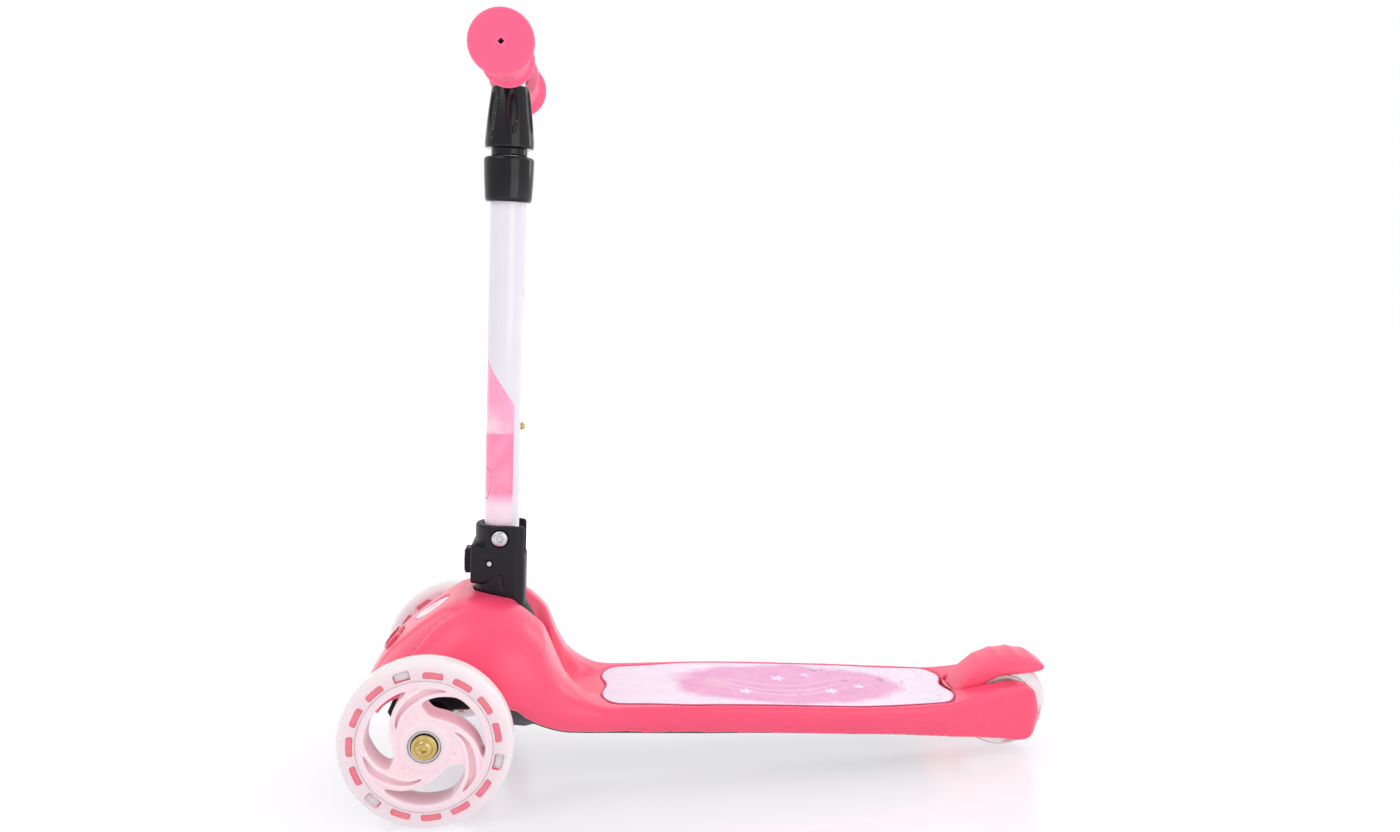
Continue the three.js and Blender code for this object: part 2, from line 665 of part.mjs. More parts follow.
const TUBE_FOOT = -4;
const TUBE_TOP = 270;
const COLLAR_LOW = 250.6;
const COLLAR_HIGH = 283.6;
const CAM_RADIUS = 13.6;

function stemTube() {
  const tube = solid(upright(ring(TUBE_BORE, TUBE_RADIUS, TUBE_FOOT, TUBE_TOP, 24)));
  const pivotRoom = solid(rod(AXLE_RADIUS + GAP, -20, 20, 12));
  return cut(tube, pivotRoom, ...heightHoles(HOLE_RADIUS, 5, 20));
}

function stemFoot() {
  const plug = solid(upright(rod(TUBE_BORE - GAP, TUBE_FOOT - 1, 30, 20)));
  const ball = solid(new THREE.SphereGeometry(CAM_RADIUS, 20, 12));
  const cam = ball.intersect(solid(box(-20, 20, -20, 20, -20, TUBE_FOOT - GAP)));
  const notch = solid(box(-2.2, 2.2, -20, 20, -20, -11.4).rotateY(LATCH_ANGLE));
  return cut(join(plug, cam), notch, solid(rod(AXLE_RADIUS + GAP, -20, 20, 12)));
}

function collar() {
  const profile = [[TUBE_RADIUS + GAP, COLLAR_LOW], [16.6, COLLAR_LOW], [17.2, COLLAR_LOW + 1],
    [18.6, COLLAR_HIGH - 1.2], [17.6, COLLAR_HIGH], [INNER_TUBE_RADIUS + GAP, COLLAR_HIGH],
    [INNER_TUBE_RADIUS + GAP, TUBE_TOP + GAP], [TUBE_RADIUS + GAP, TUBE_TOP + GAP]];
  return upright(lathe(profile, 24));
}

function heightButton() {
  const profile = [[0, 11.4], [HOLE_RADIUS - 0.2, 11.4], [HOLE_RADIUS - 0.2, 14.2], [2.2, 15.6], [0, 16.2]];
  return lathe(profile, 16).rotateZ(-Math.PI / 2).translate(0, 0, HOLE_HEIGHT);
}

// Handlebar pieces, in the stem's frame

const INNER_TUBE_FOOT = 42;
const CONNECTOR_LOW = 284.2;
const CONNECTOR_HIGH = 334.8;

function innerTube() {
  const tube = solid(upright(ring(INNER_TUBE_BORE, INNER_TUBE_RADIUS, INNER_TUBE_FOOT, BAR_HEIGHT, 20)));
  const barRoom = solid(rod(INNER_TUBE_RADIUS + GAP, -30, 30, 20).translate(0, 0, BAR_HEIGHT));
  return cut(tube, barRoom, ...heightHoles(HOLE_RADIUS + 0.2, 5, 20));
}

function buttonClip() {
  const strip = new THREE.Shape();
  strip.moveTo(8.2, -14);
  strip.lineTo(8.2, 6);
  strip.lineTo(7.4, 6);
  strip.lineTo(7.2, -14);
  strip.lineTo(0, -21.4);
  strip.lineTo(-7.2, -14);
  strip.lineTo(-7.4, 6);
  strip.lineTo(-8.2, 6);
  strip.lineTo(-8.2, -14);
  strip.lineTo(0, -22.6);
  return plate(strip, -3, 3).translate(0, 0, HOLE_HEIGHT);
}

function tConnector() {
  const bore = INNER_TUBE_RADIUS + GAP;
  const profile = [[bore, CONNECTOR_LOW], [13.6, CONNECTOR_LOW], [13.6, 289.6], [18.1, 289.9], [17.6, 300],
    [15, 325], [13.2, CONNECTOR_HIGH], [bore, CONNECTOR_HIGH]];
  return upright(lathe(profile, 24));
}

function handlebarTube() {
  return ring(INNER_TUBE_BORE, INNER_TUBE_RADIUS, -100, 100, 24).translate(0, 0, BAR_HEIGHT);
}

function grip(side) {
  const bore = INNER_TUBE_RADIUS + GAP;
  const end = BAR_HALF_LENGTH;
  const profile = [[bore, GRIP_START], [19.1, GRIP_START], [18.6, GRIP_START + 4], [15.4, GRIP_START + 6.5],
    [16.4, 60], [15.6, 95], [22.1, 99.5], [22.1, end - 1.5], [20, end], [2, end], [2, 100.4], [bore, 100.4]];
  return lathe(profile.map(([r, y]) => [r, side * y]), 24).translate(0, 0, BAR_HEIGHT);
}

// Materials

function finish(color, roughness, metalness = 0, opacity = 1) {
  return { color, roughness, metalness, opacity, transparent: opacity < 1 };
}

const PINK_SHELL = finish(0xf9627f, 0.35);
const PINK_GRIP = finish(0xf4577c, 0.65);
const PALE_PINK = finish(0xf7c5d0, 0.4);
const MILKY = finish(0xfbe3e6, 0.25, 0, 0.6);
const CLEAR = finish(0xf7f3f6, 0.1, 0, 0.35);
const BLACK_SATIN = finish(0x232128, 0.42);
const BLACK_GLOSS = finish(0x17161b, 0.15);
const WHITE_GLOSS = finish(0xf4f3f8, 0.15);
const MAT_PRINT = finish(0xf6dbe6, 0.5);
const STEEL = finish(0xb9bbc0, 0.28, 1);
const BRASS = finish(0xc9a968, 0.3, 1);

const scooter = new THREE.Group();
const root = new THREE.Group();
const stemFrame = new THREE.Group();
const kingpinFrame = new THREE.Group();
scooter.add(root);
root.add(stemFrame, kingpinFrame);
stemFrame.position.set(PIVOT_X, 0, PIVOT_Z);
stemFrame.rotation.y = STEM_TILT;
kingpinFrame.position.set(0, 0, FRONT_RADIUS);
kingpinFrame.rotation.y = STEER_TILT;

function add(parent, name, shape, look, x = 0, y = 0, z = 0) {
  const geometry = shape.isBufferGeometry ? toGeometry(solid(shape)) : toGeometry(shape);
  const mesh = new THREE.Mesh(geometry, new THREE.MeshStandardMaterial(look));
  mesh.name = name;
  mesh.position.set(x, y, z);
  parent.add(mesh);
}

// Deck
add(root, 'deck_shell', deckShell(), PINK_SHELL);
add(root, 'bottom_cover', bottomCover(), BLACK_SATIN);
add(root, 'deck_mat', deckMat(), MAT_PRINT);
add(root, 'nose_badge', badgeGeometry(2.2, 0, 0.6), WHITE_GLOSS);
add(root, 'reflector_bezel', reflectorBezel(), PINK_SHELL);
add(root, 'front_reflector', reflectorGeometry(1.6, -2.5, 0.6), WHITE_GLOSS);
Object.entries(SCREW_SPOTS).forEach(([name, [x, y]]) => {
  add(root, `cover_screw_${name}_left`, coverScrew(x, -y), STEEL);
  add(root, `cover_screw_${name}_right`, coverScrew(x, y), STEEL);
});

// Steering
add(kingpinFrame, 'kingpin', upright(rod(AXLE_RADIUS, -20, 45)), STEEL);
add(kingpinFrame, 'kingpin_nut', kingpinNut(), STEEL);
add(root, 'front_truck', frontTruck(), BLACK_SATIN);
[['left', -1], ['right', 1]].forEach(([name, side]) => {
  add(root, `front_axle_bolt_${name}`, axleBolt(side), BRASS, 0, 0, FRONT_RADIUS);
  add(root, `steering_spring_${name}`, coil(6, 1.1, 21, 4), STEEL, 34.5, side * 42, 71);
});

// Front wheels
[['left', -1], ['right', 1]].forEach(([name, side]) => {
  const wheel = new THREE.Group();
  wheel.position.set(0, side * HALF_TRACK, FRONT_RADIUS);
  wheel.rotation.z = side > 0 ? Math.PI : 0;
  root.add(wheel);
  add(wheel, `front_rim_${name}`, frontRim(), PALE_PINK);
  add(wheel, `front_tyre_${name}`, frontTyre(), MILKY);
  add(wheel, `bearing_outer_${name}`, bearing(), STEEL, 0, -BEARING_HALF_WIDTH - 3.6, 0);
  add(wheel, `bearing_inner_${name}`, bearing(), STEEL, 0, BEARING_HALF_WIDTH + 3.6, 0);
  add(wheel, `magnet_core_${name}`, magnetCore(), STEEL);
  add(wheel, `wheel_lights_${name}`, lightModules(0), CLEAR);
});

// Rear wheel and brake
const rearWheel = new THREE.Group();
rearWheel.position.set(REAR_AXLE_X, 0, REAR_RADIUS);
root.add(rearWheel);
add(rearWheel, 'rear_core', rearCore(), PALE_PINK);
add(rearWheel, 'rear_tyre', rearTyre(), CLEAR);
add(rearWheel, 'rear_bearing_left', bearing(), STEEL, 0, -BEARING_HALF_WIDTH - 3.9, 0);
add(rearWheel, 'rear_bearing_right', bearing(), STEEL, 0, BEARING_HALF_WIDTH + 3.9, 0);
add(rearWheel, 'rear_axle', rod(AXLE_RADIUS, -25, 25), STEEL);
add(root, 'rear_axle_keeper_left', rearAxleKeeper(-1), BLACK_SATIN);
add(root, 'rear_axle_keeper_right', rearAxleKeeper(1), BLACK_SATIN);
add(root, 'brake_lever', brakeLever(), PINK_SHELL);
add(root, 'brake_pin', rod(BRAKE_PIN_RADIUS, -24, 24, 16), STEEL, BRAKE_PIN_X, 0, BRAKE_PIN_Z);
add(root, 'brake_spring', brakeSpring(), STEEL);

// Folding stem
add(stemFrame, 'folding_housing', foldingHousing(), BLACK_SATIN);
add(stemFrame, 'pivot_bolt', pivotBolt(), STEEL);
add(stemFrame, 'pivot_nut', pivotNut(), STEEL);
add(stemFrame, 'latch_pin', rod(LATCH_PIN_RADIUS, -17.6, 17.6, 14), STEEL, LATCH_X, 0, LATCH_Z);
add(stemFrame, 'latch_lever', latchLever(), BLACK_SATIN);
add(stemFrame, 'latch_spring', latchSpring(), STEEL);
add(stemFrame, 'stem_tube', stemTube(), WHITE_GLOSS);
add(stemFrame, 'stem_foot', stemFoot(), STEEL);
add(stemFrame, 'stem_collar', collar(), BLACK_GLOSS);
add(stemFrame, 'height_button', heightButton(), BRASS);

// Handlebar
add(stemFrame, 'inner_tube', innerTube(), STEEL);
add(stemFrame, 'button_clip', buttonClip(), STEEL);
add(stemFrame, 't_connector', tConnector(), BLACK_GLOSS);
add(stemFrame, 'handlebar_tube', handlebarTube(), STEEL);
add(stemFrame, 'grip_left', grip(-1), PINK_GRIP);
add(stemFrame, 'grip_right', grip(1), PINK_GRIP);

scooter.position.x = -(REAR_AXLE_X + REAR_RADIUS - FRONT_RADIUS) / 2;

export default scooter;
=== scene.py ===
"""Looks of a child's three-wheeled kick scooter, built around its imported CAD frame.

Shapes are worked out in millimetres in a few local frames (front axle, wheel centre, leaning stem) and
placed in metres. Moulded pieces are sampled as distance fields and turned into meshes by surface_net();
turned pieces are lathes with rounded corners.
"""
import functools
import json
import math

import bpy
import numpy as np
from mathutils import Matrix, Vector


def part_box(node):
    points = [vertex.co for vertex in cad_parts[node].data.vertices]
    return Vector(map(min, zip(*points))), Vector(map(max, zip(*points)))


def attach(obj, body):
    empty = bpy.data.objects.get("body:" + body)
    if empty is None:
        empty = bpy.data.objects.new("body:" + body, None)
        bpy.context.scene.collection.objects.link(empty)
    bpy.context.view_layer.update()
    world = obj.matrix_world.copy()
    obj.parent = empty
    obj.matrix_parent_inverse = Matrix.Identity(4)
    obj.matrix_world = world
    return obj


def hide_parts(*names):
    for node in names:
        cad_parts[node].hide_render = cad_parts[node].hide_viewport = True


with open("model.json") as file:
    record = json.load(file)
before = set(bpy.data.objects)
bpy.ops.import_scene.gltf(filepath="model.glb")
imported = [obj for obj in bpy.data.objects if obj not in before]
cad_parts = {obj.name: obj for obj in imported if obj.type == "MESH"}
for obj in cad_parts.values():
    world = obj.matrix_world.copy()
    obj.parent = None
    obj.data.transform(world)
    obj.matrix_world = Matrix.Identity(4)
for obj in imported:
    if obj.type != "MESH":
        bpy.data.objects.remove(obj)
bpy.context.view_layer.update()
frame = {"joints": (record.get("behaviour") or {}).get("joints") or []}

MM = 0.001
COARSE = 1.0
SIDES = (("left", -1), ("right", 1))


def centre(node):
    """Middle of a CAD node's box, in metres."""
    low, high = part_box(node)
    return (low + high) / 2


JOINTS = {joint["name"]: joint for joint in frame["joints"]}
FRONT = centre("front_tyre_left")
AXLE = Matrix.Translation((FRONT.x, 0, 0))
REAR_WHEEL = Matrix.Translation(centre("rear_tyre"))
PIVOT = Vector(JOINTS["stem_fold"]["pos_m"])
UP = Vector(JOINTS["bar_height"]["axis"])
TILT = math.atan2(UP.x, UP.z)
STEM = Matrix.Translation(PIVOT) @ Matrix.Rotation(TILT, 4, "Y")


def spot(point):
    """X from the front axle and height of a point, in millimetres."""
    return (point.x - FRONT.x) / MM, point.z / MM


FRONT_HUB = spot(FRONT)
REAR_HUB = spot(centre("rear_tyre"))
BRAKE_PIN = spot(centre("brake_pin"))
FOLD_PIVOT = spot(PIVOT)
LATCH_PIN = (-7.5, -19.5)
KINGPIN_LEAN = math.radians(35)
BAR_UP = (centre("handlebar_tube") - PIVOT).length / MM
HOLE_PITCH = 50.1
HOLE_HEIGHTS = [(centre("height_button") - PIVOT).dot(UP) / MM + HOLE_PITCH * i for i in range(3)]
WALL = 3.5
BEARING_RADIUS = 11
AXLE_RADIUS = 4
FORK_GAP = 15.5
BLOCK_RADIUS = 19.35
FOOT_FLARE = 7.65
TUBE_RADIUS = 13.2
BAR_RADIUS = 10.95

# Materials' nodes


class Value:
    """One output of a shader's nodes; arithmetic on it adds math nodes."""

    def __init__(self, shader, socket):
        self.shader = shader
        self.socket = socket

    def __add__(self, other):
        return self.shader.math("ADD", self, other)

    def __sub__(self, other):
        return self.shader.math("SUBTRACT", self, other)

    def __mul__(self, other):
        return self.shader.math("MULTIPLY", self, other)

    def __truediv__(self, other):
        return self.shader.math("DIVIDE", self, other)

    def __abs__(self):
        return self.shader.math("ABSOLUTE", self)


class Shader:
    """A node material with one Principled surface; its textures follow object coordinates."""

    def __init__(self, name, **values):
        self.material = bpy.data.materials.new(name)
        self.material.use_nodes = True
        self.tree = self.material.node_tree
        self.surface = self.tree.nodes["Principled BSDF"]
        for socket, value in values.items():
            self.into(socket.replace("_", " "), value)
        self.place = self.node("ShaderNodeTexCoord", {}, "Object")

    def feed(self, socket, value):
        """Links a value to an input, or sets a constant."""
        if isinstance(value, Value):
            self.tree.links.new(value.socket, socket)
        else:
            socket.default_value = value

    def into(self, socket, value):
        self.feed(self.surface.inputs[socket], value)

    def node(self, kind, inputs, output=0, **settings):
        """Adds a node with its inputs and gives one of its outputs."""
        made = self.tree.nodes.new(kind)
        for key, value in settings.items():
            setattr(made, key, value)
        for socket, value in inputs.items():
            self.feed(made.inputs[socket], value)
        return Value(self, made.outputs[output])

    def math(self, operation, *values):
        return self.node("ShaderNodeMath", dict(enumerate(values)), operation=operation)

    def length(self, first, second):
        return self.math("SQRT", first * first + second * second)

    def noise(self, scale, detail=3.0, rough=0.55, stretch=(1, 1, 1), distort=0.0):
        where = self.node("ShaderNodeMapping", {"Vector": self.place, "Scale": stretch})
        return self.node("ShaderNodeTexNoise", {
            "Vector": where, "Scale": scale, "Detail": detail, "Roughness": rough,
            "Distortion": distort}, "Fac")

    def ramp(self, source, *stops):
        value = self.node("ShaderNodeValToRGB", {0: source})
        elements = value.socket.node.color_ramp.elements
        while len(elements) < len(stops):
            elements.new(0.5)
        for element, (position, color) in zip(elements, stops):
            element.position = position
            element.color = color
        return value

    def remap(self, source, low, high, to_low=0.0, to_high=1.0, smooth=False):
        inputs = dict(enumerate((source, low, high, to_low, to_high)))
        kind = "SMOOTHSTEP" if smooth else "LINEAR"
        return self.node("ShaderNodeMapRange", inputs, interpolation_type=kind)

    def stroke(self, value, middle, start, end):
        """1 where a value is close to its middle, fading to 0 from start to end away."""
        return self.remap(abs(value - middle), start, end, 1.0, 0.0)

    def mix(self, factor, first, second):
        return self.node("ShaderNodeMix", {0: factor, 6: first, 7: second}, 2, data_type="RGBA")

    def blend(self, source, low, high, first, second):
        """From the first colour, where the source is low, to the second."""
        return self.mix(self.remap(source, low, high), first, second)

    def axes(self, place=None):
        """X, Y and Z of the object, in metres, or of a local frame, in millimetres."""
        source = self.place
        if place is not None:
            back = place.inverted()
            source = self.node("ShaderNodeMapping", {
                "Vector": source, "Scale": (1 / MM,) * 3,
                "Rotation": back.to_euler("XYZ"), "Location": back.translation / MM})
        parts = self.node("ShaderNodeSeparateXYZ", {0: source}).socket.node.outputs
        return [Value(self, part) for part in parts]

    def bump(self, height, distance, strength=1.0, base=None):
        inputs = {"Height": height, "Distance": distance, "Strength": strength}
        if base is not None:
            inputs["Normal"] = base
        return self.node("ShaderNodeBump", inputs)

    def finish(self, color, roughness, normal):
        self.into("Base Color", color)
        self.into("Roughness", roughness)
        self.into("Normal", normal)
        return self.material


def srgb(red, green, blue):
    """Linear colour of an sRGB colour from 0 to 255."""
    def linear(value):
        value /= 255
        return value / 12.92 if value <= 0.04045 else ((value + 0.055) / 1.055) ** 2.4
    return (linear(red), linear(green), linear(blue), 1.0)


def shaded(color, factor):
    return tuple(min(1.0, c * factor) for c in color[:3]) + (1.0,)


# Meshes


def mesh_piece(name, points, faces, place, material, sharp=40):
    """A mesh object from points in millimetres in a local frame."""
    matrix = np.array(place)
    points = np.asarray(points, np.float64) * MM @ matrix[:3, :3].T + matrix[:3, 3]
    mesh = bpy.data.meshes.new(name)
    if isinstance(faces, np.ndarray):
        faces = faces.tolist()
    mesh.from_pydata(points.tolist(), [], faces)
    mesh.validate()
    mesh.polygons.foreach_set("use_smooth", [True] * len(mesh.polygons))
    mesh.set_sharp_from_angle(angle=math.radians(sharp))
    mesh.materials.append(material)
    piece = bpy.data.objects.new(name, mesh)
    bpy.context.scene.collection.objects.link(piece)
    return piece


def settle(piece, body, slot, *nodes):
    """Rides on a body and stands for CAD nodes; the slot argument is not used."""
    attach(piece, body)
    if nodes:
        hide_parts(*nodes)
    return piece


def through(points):
    """A smooth function through (x, value) points, without overshoot."""
    at, value = np.array(points, float).T
    slope = np.diff(value) / np.diff(at)
    before, after = np.r_[slope[:1], slope], np.r_[slope, slope[-1:]]
    turning = before * after <= 0
    tangent = np.where(turning, 0, 2 * before * after / np.where(turning, 1, before + after))

    def curve(x):
        x = np.clip(x, at[0], at[-1])
        i = np.clip(np.searchsorted(at, x, side="right") - 1, 0, len(at) - 2)
        span = at[i + 1] - at[i]
        t = (x - at[i]) / span
        ease = (1 - t) ** 2 * t * tangent[i] - (1 - t) * t * t * tangent[i + 1]
        return value[i] + (value[i + 1] - value[i]) * (3 - 2 * t) * t * t + span * ease

    return curve


def rounded(points, radius, steps=5):
    """The closed outline with its corners rounded; radius is one number or one for each corner."""
    points = [np.array(p, float) for p in points]
    made = []
    for i, corner in enumerate(points):
        r = radius if isinstance(radius, (int, float)) else radius[i]
        if r <= 0:
            made.append(corner)
            continue
        a, b = points[i - 1] - corner, points[(i + 1) % len(points)] - corner
        reach = min(r, np.linalg.norm(a) * 0.48, np.linalg.norm(b) * 0.48)
        start, end = corner + a / np.linalg.norm(a) * reach, corner + b / np.linalg.norm(b) * reach
        for t in np.linspace(0, 1, steps):
            made.append((1 - t) ** 2 * start + 2 * t * (1 - t) * corner + t * t * end)
    return made


def mirrored(profile):
    """A profile followed by its mirror image about the middle of its axis."""
    return profile + [(r, -along) for r, along in profile[::-1]]


def lathe(profile, segments=96, about="Y"):
    """Points and faces of a closed (radius, along) profile turned about Y or Z."""
    profile = np.array(profile, float)
    radius, along = profile.T
    angles = np.arange(segments)[:, None] * 2 * math.pi / segments
    across, up = radius * np.cos(angles), radius * np.sin(angles)
    level = np.broadcast_to(along, across.shape)
    order = (across, level, up) if about == "Y" else (across, up, level)
    points = np.stack(order, axis=-1).reshape(-1, 3)
    count = len(profile)
    area = np.sum(radius * np.roll(along, -1) - np.roll(radius, -1) * along)
    outward = area > 0 if about == "Z" else area < 0
    on_axis = radius < 1e-9
    faces = []
    for i in range(segments):
        j = (i + 1) % segments
        for k in range(count):
            m = (k + 1) % count
            if on_axis[k] and on_axis[m]:
                continue
            face = [i * count + k, j * count + k, j * count + m, i * count + m]
            if on_axis[k]:
                face = [k, j * count + m, i * count + m]
            elif on_axis[m]:
                face = [i * count + k, j * count + k, m]
            faces.append(face if outward else face[::-1])
    return points, faces


def turned(name, profile, place, material, segments=96, about="Y", sharp=32, reshape=None):
    """A lathed mesh object; reshape, where there is one, changes its points first."""
    points, faces = lathe(profile, segments, about)
    if reshape:
        points = reshape(points)
    used = sorted({v for face in faces for v in face})
    number = {old: new for new, old in enumerate(used)}
    faces = [[number[v] for v in face] for face in faces]
    return mesh_piece(name, points[used], faces, place, material, sharp)


def ringed(picked, scale):
    """A reshape of a lathe about Y: points where picked(radius, along) move out by scale(radius, angle)."""
    def reshape(points):
        r, angle = np.hypot(points[:, 0], points[:, 2]), np.arctan2(points[:, 2], points[:, 0])
        ring = picked(r, points[:, 1])
        points[ring, ::2] *= scale(r, angle)[ring, None]
        return points

    return reshape


def polygon(sides, half):
    """Scale that makes a ring a polygon with a half width across its flats."""
    turn = math.pi / sides
    return lambda r, angle: half / np.cos(np.mod(angle, 2 * turn) - turn) / np.maximum(r, 0.1)


# Distance fields: negative inside, in millimetres


def grid(low, high, step):
    """Open X, Y and Z arrays over a box, and the box's low corner and step."""
    axes = [np.arange(a, b + step, step, dtype=np.float32) for a, b in zip(low, high)]
    x, y, z = np.meshgrid(*axes, indexing="ij", sparse=True)
    return x, y, z, np.array([a[0] for a in axes]), step


def overlap(*fields):
    """What every field holds, with sharp edges."""
    return functools.reduce(np.maximum, fields)


def union(*fields):
    return functools.reduce(np.minimum, fields)


def meet(first, second, radius):
    """Intersection, with its edge rounded."""
    blend = np.maximum(radius - np.abs(first - second), 0) / radius
    return np.maximum(first, second) + blend * blend * radius * 0.25


def join(first, second, radius):
    return -meet(-first, -second, radius)


def carve(body, tool, radius):
    return meet(body, -tool, radius)


def normalised(field, step, limit):
    """Turns an implicit function into roughly a distance."""
    slopes = np.gradient(field, step)
    steep = np.sqrt(sum(s * s for s in slopes))
    return np.clip(field / np.maximum(steep, 1e-4), -limit, limit)


def slab(value, low, high):
    return np.maximum(low - value, value - high)


def rod(x, z, middle, radius):
    """A round bar along Y."""
    return np.hypot(x - middle[0], z - middle[1]) - radius


def pill(across, along, half_across, half_along, radius):
    """A rounded rectangle about the middle."""
    past = np.maximum(np.abs(across) - half_across, 0), np.maximum(np.abs(along) - half_along, 0)
    return np.hypot(*past) - radius


def box_field(x, y, z, low, high, radius=0.0):
    parts = [np.abs(v - (a + b) / 2) - (b - a) / 2 + radius for v, a, b in zip((x, y, z), low, high)]
    outside = np.sqrt(sum(np.maximum(p, 0) ** 2 for p in parts))
    return outside + np.minimum(overlap(*parts), 0) - radius


def leaning(x, z, middle, angle):
    """X and Z about a middle in a frame whose X axis rises by an angle."""
    dx, dz = x - middle[0], z - middle[1]
    return dx * math.cos(angle) + dz * math.sin(angle), dz * math.cos(angle) - dx * math.sin(angle)


def smoothstep(value, low, high):
    t = np.clip((value - low) / (high - low), 0, 1)
    return t * t * (3 - 2 * t)


def steepness(curve, x, step):
    """Length along a curve for each millimetre of X."""
    return np.sqrt(1 + np.gradient(curve(x).ravel(), step) ** 2)[:, None, None]


CORNERS = [(i, j, k) for i in (0, 1) for j in (0, 1) for k in (0, 1)]
UNITS = np.eye(3, dtype=int)


def sample(field, at):
    """Trilinear values and slopes of a field at fractional grid positions."""
    base = np.clip(at.astype(int), 0, np.array(field.shape) - 2)
    t = at - base
    value, slope = np.zeros(len(at)), np.zeros((len(at), 3))
    for corner in np.array(CORNERS):
        weight = np.where(corner, t, 1 - t)
        corner_value = field[tuple((base + corner).T)]
        value += corner_value * weight.prod(1)
        for a in range(3):
            slope[:, a] += corner_value * (2 * corner[a] - 1) * np.delete(weight, a, 1).prod(1)
    return value, slope


def surface_net(field, low, step):
    """Points and quads over the zero surface of a sampled field."""
    inside = field < 0
    nx, ny, nz = (size - 1 for size in field.shape)
    count = sum(inside[i:nx + i, j:ny + j, k:nz + k].astype(np.uint8) for i, j, k in CORNERS)
    cells = np.argwhere((count > 0) & (count < 8))
    index = np.full(count.shape, -1, np.int32)
    index[tuple(cells.T)] = np.arange(len(cells))
    total, hits = np.zeros((len(cells), 3)), np.zeros(len(cells))
    for corner in np.array(CORNERS):
        for axis in range(3):
            if corner[axis]:
                continue
            near = field[tuple((cells + corner).T)]
            far = field[tuple((cells + corner + UNITS[axis]).T)]
            crossing = (near < 0) != (far < 0)
            point = np.repeat(corner[None].astype(float), len(cells), 0)
            point[:, axis] += np.where(crossing, near / np.where(crossing, near - far, 1), 0)
            total += point * crossing[:, None]
            hits += crossing
    at = cells + total / hits[:, None]
    for _ in range(3):
        value, slope = sample(field, at)
        shift = value[:, None] * slope / np.maximum((slope ** 2).sum(1), 1e-6)[:, None]
        at -= np.clip(shift, -0.3, 0.3)
    faces = []
    for axis in range(3):
        u, v = UNITS[(axis + 1) % 3], UNITS[(axis + 2) % 3]
        here, there = [slice(1, -1)] * 3, [slice(1, -1)] * 3
        here[axis], there[axis] = slice(0, -1), slice(1, None)
        spots = np.argwhere(inside[tuple(here)] != inside[tuple(there)]) + (1 - UNITS[axis])
        quad = np.stack([index[tuple((spots - o).T)] for o in (0 * u, u, u + v, v)], axis=1)
        outward = inside[tuple(spots.T)]
        faces.append(np.where(outward[:, None], quad, quad[:, ::-1]))
    return at * step + low, np.concatenate(faces)


def relaxed(points, faces, rounds):
    """Moves each point halfway to the middle of its neighbours, to even out the net."""
    ahead = np.roll(faces, -1, 1)
    here, there = np.r_[faces.ravel(), ahead.ravel()], np.r_[ahead.ravel(), faces.ravel()]
    count = np.maximum(np.bincount(here, minlength=len(points)), 1)
    for _ in range(rounds):
        sums = [np.bincount(here, points[there, k], len(points)) for k in range(3)]
        points = (points + np.stack(sums, 1) / count[:, None]) / 2
    return points


def moulding(name, field, low, step, place, material, rounds=1):
    """A mesh object over the zero surface of a field."""
    points, faces = surface_net(field.astype(np.float32), low, step)
    return mesh_piece(name, relaxed(points, faces, rounds), faces, place, material, 60)


# Deck form: curves along X from the front axle, in millimetres

half_width = through([
    (-56, 18), (-54, 33), (-50, 46), (-44, 57), (-35, 66), (-20, 73), (0, 76), (40, 77), (65, 73), (85, 66),
    (105, 60.5), (125, 57.5), (150, 56.5), (200, 57), (300, 57), (345, 54), (388, 47), (415, 39.5),
    (440, 34.5), (455, 32.5), (465, 27)])
crest = through([
    (-56, 71), (-52, 82), (-46, 91), (-40, 99), (-30, 109), (-20, 117), (-9, 125), (7, 135.5), (16, 139.7),
    (25, 141), (36, 140), (49, 137), (57, 134.3), (65, 129.5), (71, 124), (78, 116.5), (82.5, 105.5),
    (86, 96), (90, 87.5), (94, 80), (101, 72.5), (108, 66.8), (119, 61.5), (130, 59.9), (160, 59.5),
    (194, 59), (388, 50.5), (405, 52.5), (428, 56.5), (446, 57.5), (454, 56), (459, 53), (463, 45),
    (465, 40)])
channel_floor = through([
    (50, 139), (56, 134), (62, 116), (68, 94), (74, 80), (80, 72.5), (90, 66), (100, 62), (110, 60),
    (130, 59.9)])
crest_spacing = through([
    (-56, 5), (-40, 18), (0, 22), (65, 26), (78, 24), (84, 21), (90, 24), (94, 28), (101, 31), (108, 35.5),
    (119, 39.5), (125, 43), (157, 47), (194, 51.5), (307, 51), (388, 41.5), (415, 33), (440, 29), (465, 20)])
shoulder = through([
    (-56, 67), (0, 72), (50, 72), (85, 62), (105, 52), (125, 50), (200, 49), (300, 45), (388, 40), (440, 36),
    (465, 33)])
lower_edge = through([
    (-56, 63), (-40, 62), (40, 63), (57, 66), (66, 59), (76, 52.5), (86, 47.5), (97, 44), (119, 41.2),
    (156, 39), (194, 37.5), (300, 32), (345, 28.5), (392, 22), (433, 15), (449, 12.3), (455, 13), (460, 16),
    (463, 21), (465, 27)])
side_fullness = through([(-56, 2.2), (60, 2.4), (90, 3), (110, 6), (130, 12), (465, 12)])
mat_half_width = through([
    (110, 38), (121, 41), (127, 44), (157, 47), (194, 51.5), (307, 51), (360, 45.5), (392, 41), (400, 39)])
leaf_top = through([(-52, 82), (-47, 91.5), (-20.6, 116.5), (6.6, 134.5), (30, 139)])
leaf_foot = through([(-52, 60), (-35, 84), (-16.3, 104), (0.5, 122.5), (14, 131), (30, 138.5)])
TAIL_END = 464.6
FLAT_START, FLAT_END, FLAT_FALL = 130, 388, 0.044
MAT_FRONT, MAT_REAR = 121.0, 394.5
BRACE_WIDTH = 21
MAT_RECESS = 1.6
ARCH_X, ARCH_Z, ARCH_LENGTH, ARCH_HEIGHT = 8.0, 58.0, 49.0, 27.0
LEAF_DEPTH = 1.5
